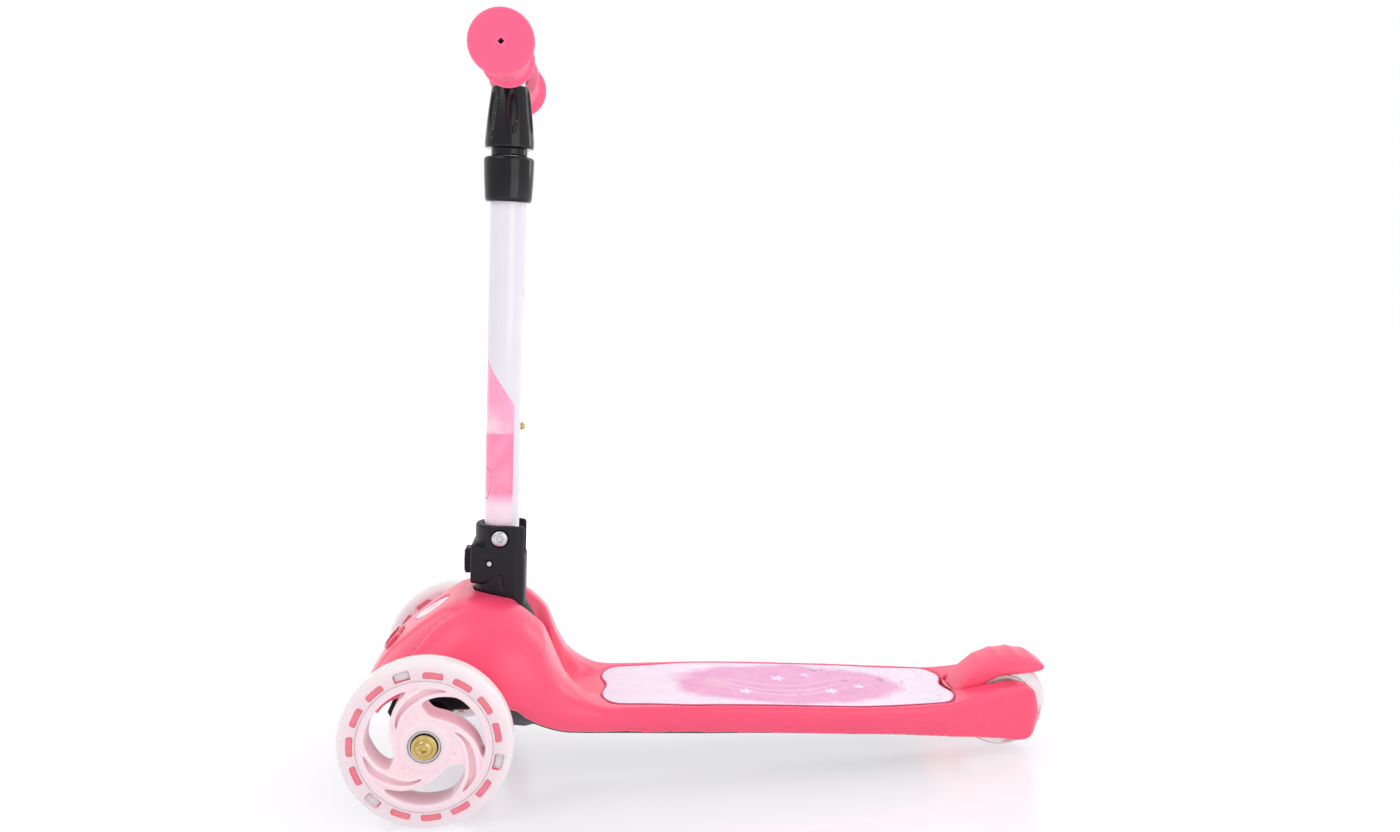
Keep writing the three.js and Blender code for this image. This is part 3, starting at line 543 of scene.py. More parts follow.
BULKHEAD_X = 60
# Slope in degrees and half height of the oval discs on the nose, and half height of the recesses for two
OVALS = {"nose_badge": (31, 14.8), "reflector_bezel": (45, 8.9), "front_reflector": (45, 6.4)}
OVAL_RECESSES = {"nose_badge": 15.0, "reflector_bezel": 9.0}
OVAL_GAP = 0.4


def deck_level(x):
    """Height of the standing surface, carried on straight past the flat's rear end."""
    return crest(np.clip(x, FLAT_START, FLAT_END)) - np.maximum(x - FLAT_END, 0) * FLAT_FALL


def mat_outline(x, y, inset=0.0):
    """Distance to the mat's edge: long curved sides and brace-shaped ends."""
    wave = np.cos(np.abs(y) / BRACE_WIDTH * math.pi)
    front = MAT_FRONT + 0.7 + 1.7 * wave
    rear = MAT_REAR + 0.6 - 2.4 * wave * smoothstep(np.abs(y), 44, 24)
    return meet(np.abs(y) - mat_half_width(x), slab(x, front, rear), 12) + inset


def deck_outer(x, y, z, step):
    """The closed outer form of the moulded deck, nose and rear fork."""
    across = np.abs(y)
    top, floor = crest(x), np.where((x > 50) & (x < FLAT_START), channel_floor(x), crest(x))
    spacing = np.minimum(crest_spacing(x), half_width(x) * 0.8)
    peak = floor + (top - floor) * smoothstep(across, spacing * 0.5, spacing * 0.98)
    side = shoulder(x)
    tuck = 4.0 * smoothstep(-z, -side, -lower_edge(x))
    u = np.maximum((across - spacing) / (half_width(x) - tuck - spacing), 0)
    v = np.maximum((z - side) / (peak - side), 0)
    fullness = side_fullness(x)
    field = u ** fullness + v ** np.minimum(fullness, 2.2) - 1
    return meet(normalised(field.astype(np.float32), step, 7.0), x - TAIL_END, 6)


def leaf(x, y, z):
    """1 inside the leaf-shaped relief on each cheek, fading at its edges."""
    middle = (leaf_top(x) + leaf_foot(x)) / 2
    half = np.maximum((leaf_top(x) - leaf_foot(x)) / 2, 0.01)
    inside = smoothstep(half - np.abs(z - middle), 0.0, 2.2)
    return inside * smoothstep(np.abs(y), 30, 38) * smoothstep(x, 30, 22) * smoothstep(x, -54, -48)


def block_room(x, y, z, grow):
    """The folding block's place in the deck, in the stem's leaning frame."""
    along, up = leaning(x, z, FOLD_PIVOT, -TILT)
    r = np.hypot(along, y)
    block = np.where(along < 0, r - (BLOCK_RADIUS + grow), pill(along, y, 6, 6, BLOCK_RADIUS - 6 + grow))
    flare = r - (BLOCK_RADIUS + grow + FOOT_FLARE * smoothstep(up, -49, -64))
    return np.maximum(np.where(up > -49, block, flare), -82 - grow - up)


def oval_frame(node):
    """Local frame and half width of an oval disc, from its CAD box."""
    low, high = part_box(node)
    middle = (low + high) / 2
    turn = Matrix.Rotation(-math.radians(OVALS[node][0]), 4, "Y")
    return Matrix.Translation((middle.x, 0, middle.z)) @ turn, (high.y - low.y) / 2 / MM


def oval_recess(x, y, z, node, half_height):
    place, half_width = oval_frame(node)
    along, depth = leaning(x, z, spot(place.translation), math.radians(OVALS[node][0]))
    oval = (np.hypot(along / (half_height + OVAL_GAP), y / (half_width + OVAL_GAP)) - 1) * half_height
    return np.maximum(oval, np.abs(depth - 4) - 6)


def deck_shell(material):
    """Hollow moulding: bulkhead, kingpin boss, block tower, wheel arches, mat recess and rear fork."""
    x, y, z, low, step = grid((-59, -80, 8), (469, 80, 148), 1.25 * COARSE)
    across = np.abs(y)
    skin = deck_outer(x, y, z, step)
    belly = lower_edge(x) - z
    relief = LEAF_DEPTH * leaf(x, y, z)
    along, up = leaning(x, z, FRONT_HUB, KINGPIN_LEAN)
    cavity = meet(skin + WALL + relief, slab(x, -60, 384), 2)
    cavity = carve(cavity, np.abs(x - BULKHEAD_X) - 3, 1)
    cavity = carve(cavity, np.maximum(np.hypot(along, y) - 12, 17 - up), 3)
    shell = carve(meet(skin + relief, belly, 2.0), cavity, 1.0)
    shell = join(shell, overlap(block_room(x, y, z, 4.0), skin, belly), 2)
    arch = (np.hypot((x - ARCH_X) / ARCH_LENGTH, (z - ARCH_Z) / ARCH_HEIGHT) - 1) * ARCH_HEIGHT
    shell = carve(shell, arch, 1.6)
    shell = carve(shell, block_room(x, y, z, 0.6), 1.0)
    shell = carve(shell, np.maximum(mat_outline(x, y), deck_level(x) - MAT_RECESS - z), 0.8)
    axle_x, axle_z = REAR_HUB
    wheel = meet(rod(x, z, REAR_HUB, axle_z + 4), across - FORK_GAP, 2)
    tail = meet(axle_x - x, across - FORK_GAP, 1)
    below = box_field(x, y, z, (403, -FORK_GAP, 0), (axle_x + 1, FORK_GAP, 40))
    treadle = box_field(x, y, z, (398.5, -17.2, 33), (433, 17.2, 90), 3)
    root = box_field(x, y, z, (389, -17.2, 33), (402, 17.2, 50), 2)
    shell = carve(shell, join(union(wheel, tail, below), union(treadle, root), 1.5), 1.8)
    axle = np.maximum(rod(x, z, REAR_HUB, AXLE_RADIUS + 0.3), across - 25.3)
    way = overlap(np.abs(x - axle_x) - AXLE_RADIUS - 0.3, across - 25.3, z - axle_z)
    pin = np.maximum(rod(x, z, BRAKE_PIN, 2.8), across - 24.3)
    shell = carve(shell, union(axle, way, pin), 0.6)
    for node, half_height in OVAL_RECESSES.items():
        shell = carve(shell, oval_recess(x, y, z, node, half_height), 0.8)
    piece = moulding("deck_body", shell, low, step, AXLE, material, 3)
    return settle(piece, "deck", "pink_shell", "deck_shell")


# Deck pieces


def deck_mat(material):
    """A thin rubber sheet with brace-shaped ends and a rolled edge, inside its recess."""
    step = 0.5 * COARSE
    along, across = np.arange(MAT_FRONT - 4, MAT_REAR + 5, step), np.arange(-54, 54.01, step)
    x, y = np.meshgrid(along, across, indexing="ij")
    edge = mat_outline(x, y, 0.75)
    slope = np.stack(np.gradient(edge, step), -1).reshape(-1, 2)
    roll = np.clip(-edge / 0.9, 0, 1)
    top = deck_level(x) - 0.42 * (1 - np.sqrt(np.maximum(1 - (1 - roll) ** 2, 0))) - 0.02
    points = np.stack([x, y, top], -1).reshape(-1, 3)
    edge = edge.ravel()
    rows, columns = x.shape
    first = (np.arange(rows - 1)[:, None] * columns + np.arange(columns - 1)).ravel()
    faces = first[:, None] + np.array([0, columns, columns + 1, 1])
    faces = faces[(edge < 0)[faces].all(1)]
    used = np.zeros(len(points), bool)
    used[faces] = True
    rim = used & (edge > -1.2 * step)
    pull = (-0.02 - edge)[:, None] * slope / np.maximum((slope ** 2).sum(1), 0.2)[:, None]
    points[rim, :2] += pull[rim]
    faces, points = (np.cumsum(used) - 1)[faces], points[used]
    count = len(points)
    floor = np.c_[points[:, :2], deck_level(points[:, 0]) - 1.2]
    pairs = np.stack([faces, np.roll(faces, -1, 1)], -1).reshape(-1, 2)
    _, where, shared = np.unique(np.sort(pairs, 1), axis=0, return_index=True, return_counts=True)
    a, b = pairs[np.sort(where[shared == 1])].T
    sides = np.stack([b, a, a + count, b + count], 1)
    everything = np.r_[faces, faces[:, ::-1] + count, sides]
    piece = mesh_piece("deck_print_mat", np.r_[points, floor], everything, AXLE, material, 50)
    # Painted shade: deep pink on the mat's rim, side walls and underside stands for the shadowed groove round
    # the mat.
    groove_shade = piece.data.attributes.new("groove_shade", "FLOAT", "POINT")
    strength = np.r_[smoothstep(edge[used], -1.5, -1.0), np.ones(count)]
    groove_shade.data.foreach_set("value", strength.astype(np.float32))
    return settle(piece, "deck", "mat", "deck_mat")


def brake_lever(material):
    """The treadle over the rear wheel, with five grip bumps across its crown."""
    x, y, z, low, step = grid((388, -18, 33), (476, 18, 85), 0.7 * COARSE)
    across = np.abs(y)
    crown = through([
        (391, 41.5), (396, 46), (401, 52.5), (406, 59.5), (413, 66.2), (420, 71.2), (427, 74.8), (435, 77),
        (443, 78), (450, 78), (457, 77), (463, 75.2), (469, 72), (473, 68.5), (475, 66)])
    skirt = through([
        (391, 38.5), (396, 34.6), (401, 36), (405, 39.5), (410, 44), (420, 51.5), (429, 57.2), (438, 60.4),
        (450, 61.2), (461, 62), (469, 63.5), (475, 66)])
    bumps = sum(np.exp(-((x - at) / 3.2) ** 2) for at in np.linspace(408, 462, 5))
    dome = 2.2 * (y / 16) ** 2
    top = z - (crown(x) + bumps * smoothstep(across, 15, 12) - dome)
    body = meet(top / steepness(crown, x, step), (skirt(x) - z) / steepness(skirt, x, step), 3.0)
    body = meet(body, slab(x, 391, 474.8), 3.5)
    body = meet(body, across - 16.2, 3.0)
    tyre = meet(rod(x, z, REAR_HUB, REAR_HUB[1] + 2.2), across - 13.4, 9)
    body = carve(body, tyre, 0.4)
    body = carve(body, box_field(x, y, z, (385, -7, 33), (404, 7, 49)), 0.5)
    body = carve(body, rod(x, z, BRAKE_PIN, 2.7), 0.4)
    piece = moulding("brake_treadle", body, low, step, AXLE, material)
    return settle(piece, "brake", "brake", "brake_lever")


def nose_trim(bezel_material, lens_material, badge_material):
    """Raised oval lip, its prismatic reflector, and the plain oval badge."""
    lip = rounded([(0.8, -1.2), (1, -1.2), (1, 0.6), (0.93, 2.0), (0.8, 2.0)], 0.06)

    def disc(sink, rise):
        dome = [(t, rise - 0.5 * t ** 4) for t in np.linspace(0, 0.97, 14)]
        return [(0, sink), (1, sink), (1, rise * 0.25)] + dome[::-1]

    for node, name, material, slot, profile in (
            ("reflector_bezel", "reflector_lip", bezel_material, "trim", lip),
            ("front_reflector", "reflector_lens", lens_material, "reflector", disc(-0.8, 0.9)),
            ("nose_badge", "nose_oval_badge", badge_material, "badge", disc(-1.0, 0.9))):
        place, half_width = oval_frame(node)
        scale = (OVALS[node][1], half_width - 0.3, 1)
        piece = turned(name, profile, place, material, 96, "Z", 30, lambda points: points * scale)
        settle(piece, "deck", slot, node)


# Wheels, drawn about their own centre with the outer face at -Y

LIGHT_ANGLE = 105.6
WINDOW_PITCH = 24
LIGHT_PITCH = 120
RIM_FACE = 11.6
BOLT_FACE = 117.3
BEARING_PLACES = (("outer", -7.1), ("inner", 7.1))
REAR_BEARING_PLACE = 7.4
opening_inner = through([
    (0, 29.2), (3, 27), (9, 23.5), (16, 21.6), (24, 21.2), (40, 22.6), (52, 24.4), (73, 29.3), (91, 34.8),
    (104, 38.6), (112, 41.5), (120, 44)])
opening_outer = through([(0, 29.0), (6, 31.8), (16, 34.8), (28, 37.9), (40, 40.6), (48, 41.0), (120, 41.0)])
pocket_line = through([
    (0, 22.0), (21, 27.9), (39, 32), (51, 35), (61, 38), (72, 40.2), (84, 42.5), (120, 60)])
pocket_width = through([(0, 0.6), (6, 1.7), (30, 2.6), (55, 3.2), (72, 2.5), (84, 0.8), (90, -3), (120, -3)])


def degrees(x, z):
    return np.degrees(np.arctan2(z, x))


def nearest(angle, pitch):
    """Degrees from the nearest of the marks at every pitch from the first light."""
    return np.mod(angle - LIGHT_ANGLE + pitch / 2, pitch) - pitch / 2


def front_rim(name, place, body, material):
    """Swirled three-arm rim: hub, arms with pockets between raised ribs, and a deep outer ring."""
    x, y, z, low, step = grid((-47.5, -12.6, -47.5), (47.5, 12.6, 47.5), 0.5 * COARSE)
    r, depth = np.hypot(x, z), np.abs(y)
    phase, pocket_phase = (np.mod(start - degrees(x, z), LIGHT_PITCH) for start in (93.0, 147.0))
    opening = meet((opening_inner(phase) - r) * 0.85, (r - opening_outer(phase)) * 0.9, 3.0)
    pocket = np.abs(r - pocket_line(pocket_phase)) * 0.82 - pocket_width(pocket_phase)
    web = np.maximum(r - 43, depth - (RIM_FACE - 1.6))
    web = carve(web, np.maximum(pocket, RIM_FACE - 5.0 - depth), 0.8)
    raised = meet(np.maximum(np.abs(pocket) - 1.1, 20 - r), depth - (RIM_FACE - 0.2), 1.2)
    lip = meet(np.abs(opening) - 1.3, depth - (RIM_FACE - 0.5), 1.2)
    web = join(web, np.maximum(np.minimum(raised, lip), r - 43), 1.2)
    web = carve(web, opening, 1.2)
    hub = meet(r - 17.2, depth - RIM_FACE, 2.0)
    band = meet(np.abs(r - 43.9) - 2.4, depth - RIM_FACE, 1.4)
    rim = join(join(web, hub, 1.5), band, 1.2)
    rim = carve(rim, np.minimum(np.maximum(r - (BEARING_RADIUS + 0.3), 3.3 - depth), r - 8.5), 0.5)
    dots = [rod(x, z, (20.8 * math.cos(a), 20.8 * math.sin(a)), 0.55) for a in np.radians([104, -16, 224])]
    rim = carve(rim, np.maximum(union(*dots), RIM_FACE - 3 - depth), 0.2)
    piece = moulding(f"swirl_rim_{name}", rim, low, step, place, material)
    return settle(piece, body, "wheel_core", f"front_rim_{name}")


def front_tyre(name, place, body, material):
    """Cast translucent tyre: rounded tread, and keying windows that show the rim through each side."""
    x, y, z, low, step = grid((-61, -12.9, -61), (61, 12.9, 61), 0.55 * COARSE)
    r, depth = np.hypot(x, z), np.abs(y)
    tread = np.sqrt(np.maximum(r - 50.5, 0) ** 2 + (np.maximum(depth - 3.0, 0) * 1.04) ** 2) - 9.5
    tyre = meet(meet(tread, depth - 12.0, 3), 46.3 - r, 0.6)
    along = np.radians(nearest(degrees(x, z), WINDOW_PITCH)) * r
    lit = np.round((degrees(x, z) - LIGHT_ANGLE) / WINDOW_PITCH) % (LIGHT_PITCH / WINDOW_PITCH) == 0
    window = pill(along, r - 50.1, 5.6, 0.9, 1.3)
    module = pill(along, r - 51.2, 4.6, 2.2, 1.0)
    tyre = carve(tyre, np.maximum(np.where(lit, 9.0, window), 10.1 - depth), 0.5)
    tyre = carve(tyre, np.maximum(np.where(lit, module, 9.0), 8.6 - depth), 0.4)
    piece = moulding(f"cast_tyre_{name}", tyre, low, step, place, material)
    return settle(piece, body, "milky_tyre", f"front_tyre_{name}")


def wheel_lights(name, place, body, material):
    """Three clear light modules, each with a ribbed lens face on both sides, on one band."""
    x, y, z, low, step = grid((-60, -10.5, -60), (60, 10.5, 60), 0.5)
    r, depth = np.hypot(x, z), np.abs(y)
    along = np.radians(nearest(degrees(x, z), LIGHT_PITCH)) * r
    block = overlap(np.abs(along) - 5.0, np.abs(r - 51) - 2.6, depth - 9.0 + 0.25 * np.cos(along * 3.2))
    band = np.maximum(np.abs(r - 47.1) - 0.5, depth - 2)
    piece = moulding(f"light_modules_{name}", join(block, band, 0.8), low, step, place, material)
    return settle(piece, body, "light_module", f"wheel_lights_{name}")


def rear_wheel(core_material, tyre_material):
    """Eight-ribbed core in a clear, crowned tyre."""
    x, y, z, low, step = grid((-25, -12.4, -25), (25, 12.4, 25), 0.5 * COARSE)
    r, depth = np.hypot(x, z), np.abs(y)
    body = meet(r - 23.9, depth - 11.5, 1.2)
    dish = meet(slab(r, 15.6, 20.6), 6.0 - depth, 1.2)
    ribs = np.radians(np.abs(np.mod(degrees(x, z), 45) - 22.5)) * r - 0.9
    body = carve(body, carve(dish, np.maximum(ribs, depth - 10.6), 0.8), 0.8)
    body = carve(body, np.minimum(np.maximum(r - 11.3, 3.3 - depth), r - 8.5), 0.5)
    core = moulding("rear_wheel_core", body, low, step, REAR_WHEEL, core_material)
    settle(core, "rear_wheel", "wheel_core", "rear_core")
    half = [(24.3, -11.9), (30.5, -11.9), (34.4, -7.6), (36.0, -2)]
    profile = rounded(mirrored(half), [0.8, 3.5, 3.5, 3, 3, 3.5, 3.5, 0.8], 7)
    tyre = turned("rear_clear_tyre", profile, REAR_WHEEL, tyre_material, 128)
    settle(tyre, "rear_wheel", "clear_tyre", "rear_tyre")


def axle_bolt(name, side, material):
    """Domed flange bolt with a hex socket."""
    shank = [(0, 70), (AXLE_RADIUS, 70), (AXLE_RADIUS, BOLT_FACE)]
    head = [(8.8, 0), (8.8, 1.1), (8.3, 1.5), (6.4, 1.6), (6.0, 2.4), (5.2, 3.6), (3.9, 4.4), (2.9, 4.55),
            (2.5, 4.2), (2.5, 1.8), (0, 1.8)]
    profile = rounded(shank + [(r, BOLT_FACE + rise) for r, rise in head],
                      [0, .3, 0, .2, .4, .3, .5, .6, .9, .6, .2, .1, .2, 0])
    profile = [(r, side * along) for r, along in profile]

    def in_socket(r, along):
        return (r > 2.2) & (r < 2.62) & (np.abs(along) > BOLT_FACE + 1.4)

    place = Matrix.Translation((FRONT.x, 0, FRONT.z))
    piece = turned(f"axle_bolt_{name}", profile, place, material, sharp=30,
                   reshape=ringed(in_socket, polygon(6, 2.5)))
    return settle(piece, "steering", "brass", f"front_axle_bolt_{name}")


def bearing(node, place_y, wheel, body, material):
    """Shielded ball bearing: outer and inner race with a recessed shield."""
    half = [(4.2, -3.5), (6.0, -3.5), (6.4, -3.0), (9.1, -3.0), (9.5, -3.5), (BEARING_RADIUS, -3.5)]
    place = wheel @ Matrix.Translation((0, place_y * MM, 0))
    piece = turned(f"{node}_race", rounded(mirrored(half), 0.3, 4), place, material, 72)
    return settle(piece, body, "bearing", node)


# Stem, handlebar and folding block, in the stem's leaning frame


def cut_holes(piece, radius, holes):
    """Cuts round holes, each given as its start and end in millimetres of the stem's frame."""
    for index, (start, end) in enumerate(holes):
        start, end = Vector(start), Vector(end)
        turn = (end - start).to_track_quat("Z", "Y").to_matrix().to_4x4()
        length = (end - start).length
        place = STEM @ Matrix.Translation(start * MM) @ turn
        profile = [(0, 0), (radius, 0), (radius, length), (0, length)]
        cutter = turned(f"cutter_{index}", profile, place, piece.data.materials[0], 40, "Z", 30)
        cut = piece.modifiers.new("hole", "BOOLEAN")
        cut.operation, cut.solver, cut.object = "DIFFERENCE", "EXACT", cutter
        bpy.context.view_layer.update()
        made = bpy.data.meshes.new_from_object(piece.evaluated_get(bpy.context.evaluated_depsgraph_get()))
        piece.modifiers.clear()
        piece.data = made
        bpy.data.objects.remove(cutter)
    piece.data.set_sharp_from_angle(angle=math.radians(35))


BUTTON_HOLES = [((5, 0, z), (20, 0, z)) for z in HOLE_HEIGHTS]


def stem_pieces(tube_material, collar_material, inner_material):
    """Lower tube, its clamp collar, and the sliding inner tube with its saddle-cut top."""
    wall = rounded([(11.65, -3.9), (TUBE_RADIUS, -3.9), (TUBE_RADIUS, 269.9), (11.65, 269.9)], 0.5, 4)
    rings = [(TUBE_RADIUS, z) for z in np.linspace(6, 262, 60)]
    profile = wall[:len(wall) // 2] + rings + wall[len(wall) // 2:]
    tube = turned("stem_outer_tube", profile, STEM, tube_material, 96, "Z")
    cut_holes(tube, 3.05, BUTTON_HOLES)
    cut_holes(tube, 4.3, [((0, -20, 0), (0, 20, 0))])
    settle(tube, "stem", "white_tube", "stem_tube")
    profile = [(13.5, 250.7), (16.3, 250.7), (17.25, 252.4), (18.2, 268), (18.55, 281.8), (17.4, 283.5),
               (11.4, 283.5), (11.4, 270.5), (13.5, 270.5)]
    profile = rounded(profile, [.3, .9, 1.2, 4, 1.6, 1.2, .3, .2, .2], 7)
    clamp = turned("tube_collar", profile, STEM, collar_material, 128, "Z")
    settle(clamp, "stem", "gloss_black", "stem_collar")

    def saddle(points):
        top = points[:, 2] > 347
        points[top, 2] = BAR_UP - np.sqrt(np.maximum(11.35 ** 2 - points[top, 0] ** 2, 0.01))
        return points

    rings = [(BAR_RADIUS, z) for z in np.linspace(50, 320, 40)]
    profile = [(9.65, 42.1), (BAR_RADIUS, 42.1)] + rings + [(BAR_RADIUS, 347.9), (9.65, 347.9)]
    inner = turned("sliding_tube", profile, STEM, inner_material, 120, "Z", 35, saddle)
    cut_holes(inner, 3.25, BUTTON_HOLES)
    settle(inner, "handlebar", "inner_tube", "inner_tube")


def connector(material):
    """Tapered connector between inner tube and bar, with lens-shaped flutes around it."""
    x, y, z, low, step = grid((-18.9, -18.9, 283.4), (18.9, 18.9, 335.8), 0.42 * COARSE)
    r, angle = np.hypot(x, y), np.arctan2(y, x)
    radius = through([(284, 13.4), (289.4, 13.4), (289.8, 17.7), (293, 18.0), (300, 17.6), (312, 16.5),
                      (325, 15.0), (331.5, 14.1), (335.5, 13.4)])(z)
    body = meet(r - radius, slab(z, 284.3, 334.7), 1.4)
    body = carve(body, np.maximum(slab(z, 284, 289.5), 13.5 - r), 0.5)
    turn = np.mod(angle + math.pi / 2 + 0.35, math.pi / 3) - math.pi / 6
    middle, half_length = 316, 15.5
    along = np.clip((z - middle) / half_length, -1, 1)
    half_width = 3.5 * np.sqrt(np.maximum(1 - along ** 2, 0))
    flute = np.hypot(turn * r, np.maximum(r - radius + 0.2, -2) * 1.6) - half_width
    flute = np.maximum(flute, np.abs(z - middle) - half_length)
    body = carve(body, np.maximum(flute * 0.8, radius - 1.5 - r), 0.9)
    body = carve(body, r - 11.35, 0.6)
    piece = moulding("bar_connector", body, low, step, STEM, material)
    return settle(piece, "handlebar", "gloss_black", "t_connector")


def handlebar(tube_material, grip_material):
    """Plain cross bar with two waisted, ribbed grips that end in domed flanges."""
    place = STEM @ Matrix.Translation((0, 0, BAR_UP * MM))
    rings = [(BAR_RADIUS, y) for y in np.linspace(-90, 90, 30)]
    profile = [(9.7, -99.9), (BAR_RADIUS, -99.9)] + rings + [(BAR_RADIUS, 99.9), (9.7, 99.9)]
    bar = turned("cross_bar", profile, place, tube_material)
    settle(bar, "handlebar", "inner_tube", "handlebar_tube")

    def waist(t):
        ribs = 0.32 * (0.5 + 0.5 * math.cos(t * 11 * 2 * math.pi)) * (0.08 < t < 0.93)
        return 15.3 + math.sin(t * math.pi / 2) - 0.75 * smoothstep(t, 0.45, 1.0) - ribs

    collar = [(11.4, 31.2), (18.2, 31.2), (19.0, 32.4), (18.9, 34.0), (17.6, 35.6), (15.9, 37.0),
              (15.3, 38.6)]
    middle = [(waist(t), 38.6 + 56.4 * t) for t in np.linspace(0.02, 0.98, 90)]
    flange = [(16.3, 96.2), (19.2, 98.3), (21.4, 99.7), (22.0, 100.8), (22.05, 102.2), (21.5, 103.3),
              (20, 104.0)]
    face = [(r, 104.25 + 0.5 * (1 - (r / 21) ** 2)) for r in (18, 15, 12, 9, 6.5, 4.5)]
    vent = [(2.3, 104.75), (1.9, 104.4), (1.9, 100.7), (11.4, 100.7)]
    square = ringed(lambda r, along: r < 2.0, polygon(4, 1.7))
    for name, side in SIDES:
        profile = [(r, side * y) for r, y in collar + middle + flange + face + vent]
        piece = turned(f"soft_grip_{name}", profile, place, grip_material, 128, "Y", 45, square)
        settle(piece, "handlebar", "grip", f"grip_{name}")


def folding_block(material):
    """Satin block around the stem foot, with a rounded lip, latch boss and flared foot."""
    x, y, z, low, step = grid((-23, -28, -83), (28, 28, 11), 0.5 * COARSE)
    across, r = np.abs(y), np.hypot(x, y)
    square = np.maximum(x, across) - BLOCK_RADIUS
    corner = np.hypot(np.maximum(x - 10.85, 0), np.maximum(across - 10.85, 0)) - 8.5
    rear = np.where((x > 10.85) | (across > 10.85), corner, square)
    block = np.maximum(np.where(x < 0, r - BLOCK_RADIUS, rear), -52 - z)
    block = meet(block, z - 9.5, 2.4)
    foot = r - (BLOCK_RADIUS + FOOT_FLARE * smoothstep(z, -47, -66))
    foot = meet(np.maximum(foot * 0.92, z + 47), -82 - z, 1.0)
    body = join(block, foot, 1.2)
    boss_back = through([(-38, 18), (-34, 11), (-30, 6.0), (-26, 3.2), (-20, 1.8), (-15, 2.6), (-11, 6.2),
                         (-8, 11), (-4, 19)])
    boss = meet(np.maximum(-x - 21.6, x + boss_back(z)), across - 17.6, 1.8)
    body = join(body, meet(boss, slab(z, -35.0, -5.0), 2.2), 2.4)
    gate = box_field(x, y, z, (0, -14.3, -14.6), (30, 14.3, 20))
    body = carve(body, np.minimum(np.maximum(r - 14.3, -14.6 - z), gate), 1.0)
    for _, side in SIDES:
        notch = box_field(x, y, z, (11.6, side * 14.3 - 1.5, 4.8), (14.6, side * 14.3 + 1.5, 12), 0.6)
        body = carve(body, notch, 0.8)
    room = np.minimum(box_field(x, y, z, (-30, -7.6, -32.4), (-14.8, 7.6, -6.5), 1.0),
                      box_field(x, y, z, (-15.5, -7.6, -26), (6, 7.6, -13)))
    body = carve(body, room, 0.8)
    body = carve(body, np.maximum(r - 5, z + 30.5), 0.6)
    for middle, radius in (((0, 0), 4.3), (LATCH_PIN, 2.25)):
        body = carve(body, rod(x, z, middle, radius), 0.3)
    body = carve(body, np.maximum(np.hypot(x, z) - 6.9, 17.6 - across), 0.7)
    body = carve(body, np.maximum(rod(x, z, LATCH_PIN, 3.3), 16.9 - across), 0.3)
    crease = np.hypot(across - 19.6, x - 1.5 + (z + 30) * 0.25) - 1.1
    body = carve(body, np.maximum(crease, np.abs(z + 33.5) - 5.5), 0.8)
    piece = moulding("folding_block", body, low, step, STEM, material)
    return settle(piece, "deck", "black_plastic", "folding_housing")


def pivot_hardware(steel):
    """Domed pivot bolt with a six-point socket, its nut, and the latch pin."""
    profile = [(0, 16.2), (3.9, 16.2), (3.9, -17.95), (6.1, -17.95), (6.15, -19.1), (5.7, -19.9),
               (4.6, -20.5), (3.0, -20.75), (2.5, -20.5), (2.3, -18.8), (0, -18.6)]
    profile = rounded(profile, [0, .4, 0, .2, .6, .8, .8, .5, .2, .2, 0])
    lobes = ringed(lambda r, along: (r < 2.75) & (along < -18), lambda r, angle: 1 + 0.14 * np.cos(6 * angle))
    bolt = turned("pivot_bolt_head", profile, STEM, steel, sharp=30, reshape=lobes)
    settle(bolt, "deck", "steel", "pivot_bolt")
    profile = [(0, 20.5), (3.0, 20.5), (4.6, 20.3), (6.1, 19.3), (6.15, 17.95), (3.9, 17.95), (3.9, 16.9),
               (0, 16.9)]
    nut = turned("pivot_nut_cap", rounded(profile, [0, .3, .8, .8, .2, .2, .1, 0]), STEM, steel)
    settle(nut, "deck", "steel", "pivot_nut")
    half = [(0, -17.5), (0.9, -17.5), (1.05, -17.35), (1.25, -17.5), (1.75, -17.5), (1.95, -17.2)]
    place = STEM @ Matrix.Translation((LATCH_PIN[0] * MM, 0, LATCH_PIN[1] * MM))
    pin = turned("latch_hinge_pin", mirrored(half), place, steel, 64)
    settle(pin, "deck", "steel", "latch_pin")


def latch(material):
    """Push latch: a ribbed thumb pad and an arm whose tooth rests in the stem's cam."""
    x, y, z, low, step = grid((-29.3, -7.4, -30), (-3, 7.4, -8), 0.3 * COARSE)
    across, level = np.abs(y), z + 19.7
    pad = meet(slab(x, -27.2, -21.6), slab(z, -29.2, -10.2), 1.4)
    pad = meet(pad, np.hypot(np.maximum(-x - 12, 0), level * 0.55) - 15.8, 1.2)
    pad = meet(pad, across - 6.8, 1.0)
    ribs = np.maximum(0.45 * np.cos(level / 2.05 * 2 * math.pi) * (np.abs(level) < 8.7), -0.35)
    pad = pad + np.where(x < -24.5, ribs, 0) * smoothstep(-x, 24.5, 25.5)
    upper = through([(-22.5, -12.2), (-12.5, -14.2), (-10.4, -10.8), (-8.2, -11.6), (-7, -14.8), (-4.0, -18)])
    lower = through([(-22.5, -24.3), (-15, -23.6), (-9, -24.0), (-4.4, -21.8)])
    arm = meet(slab(x, -22.5, -4.1), slab(z, lower(x), upper(x)) * 0.7, 0.5)
    arm = meet(arm, across - 6.3, 0.6)
    body = carve(join(pad, arm, 0.8), rod(x, z, LATCH_PIN, 2.25), 0.2)
    piece = moulding("ribbed_latch", body, low, step, STEM, material)
    return settle(piece, "latch", "black_plastic", "latch_lever")


def height_button(material):
    """Brass push button with a stepped, domed end."""
    profile = [(0, 11.5), (2.85, 11.5), (2.85, 14.4), (2.2, 14.6), (2.1, 15.5), (1.2, 16.1), (0, 16.15)]
    profile = rounded(profile, [0, .1, .3, .2, .4, .5, 0], 4)
    place = STEM @ Matrix.Translation((0, 0, HOLE_HEIGHTS[0] * MM)) @ Matrix.Rotation(math.pi / 2, 4, "Y")
    piece = turned("height_push_button", profile, place, material, 64, "Z", 30)
    return settle(piece, "height_button", "brass", "height_button")


# Underside


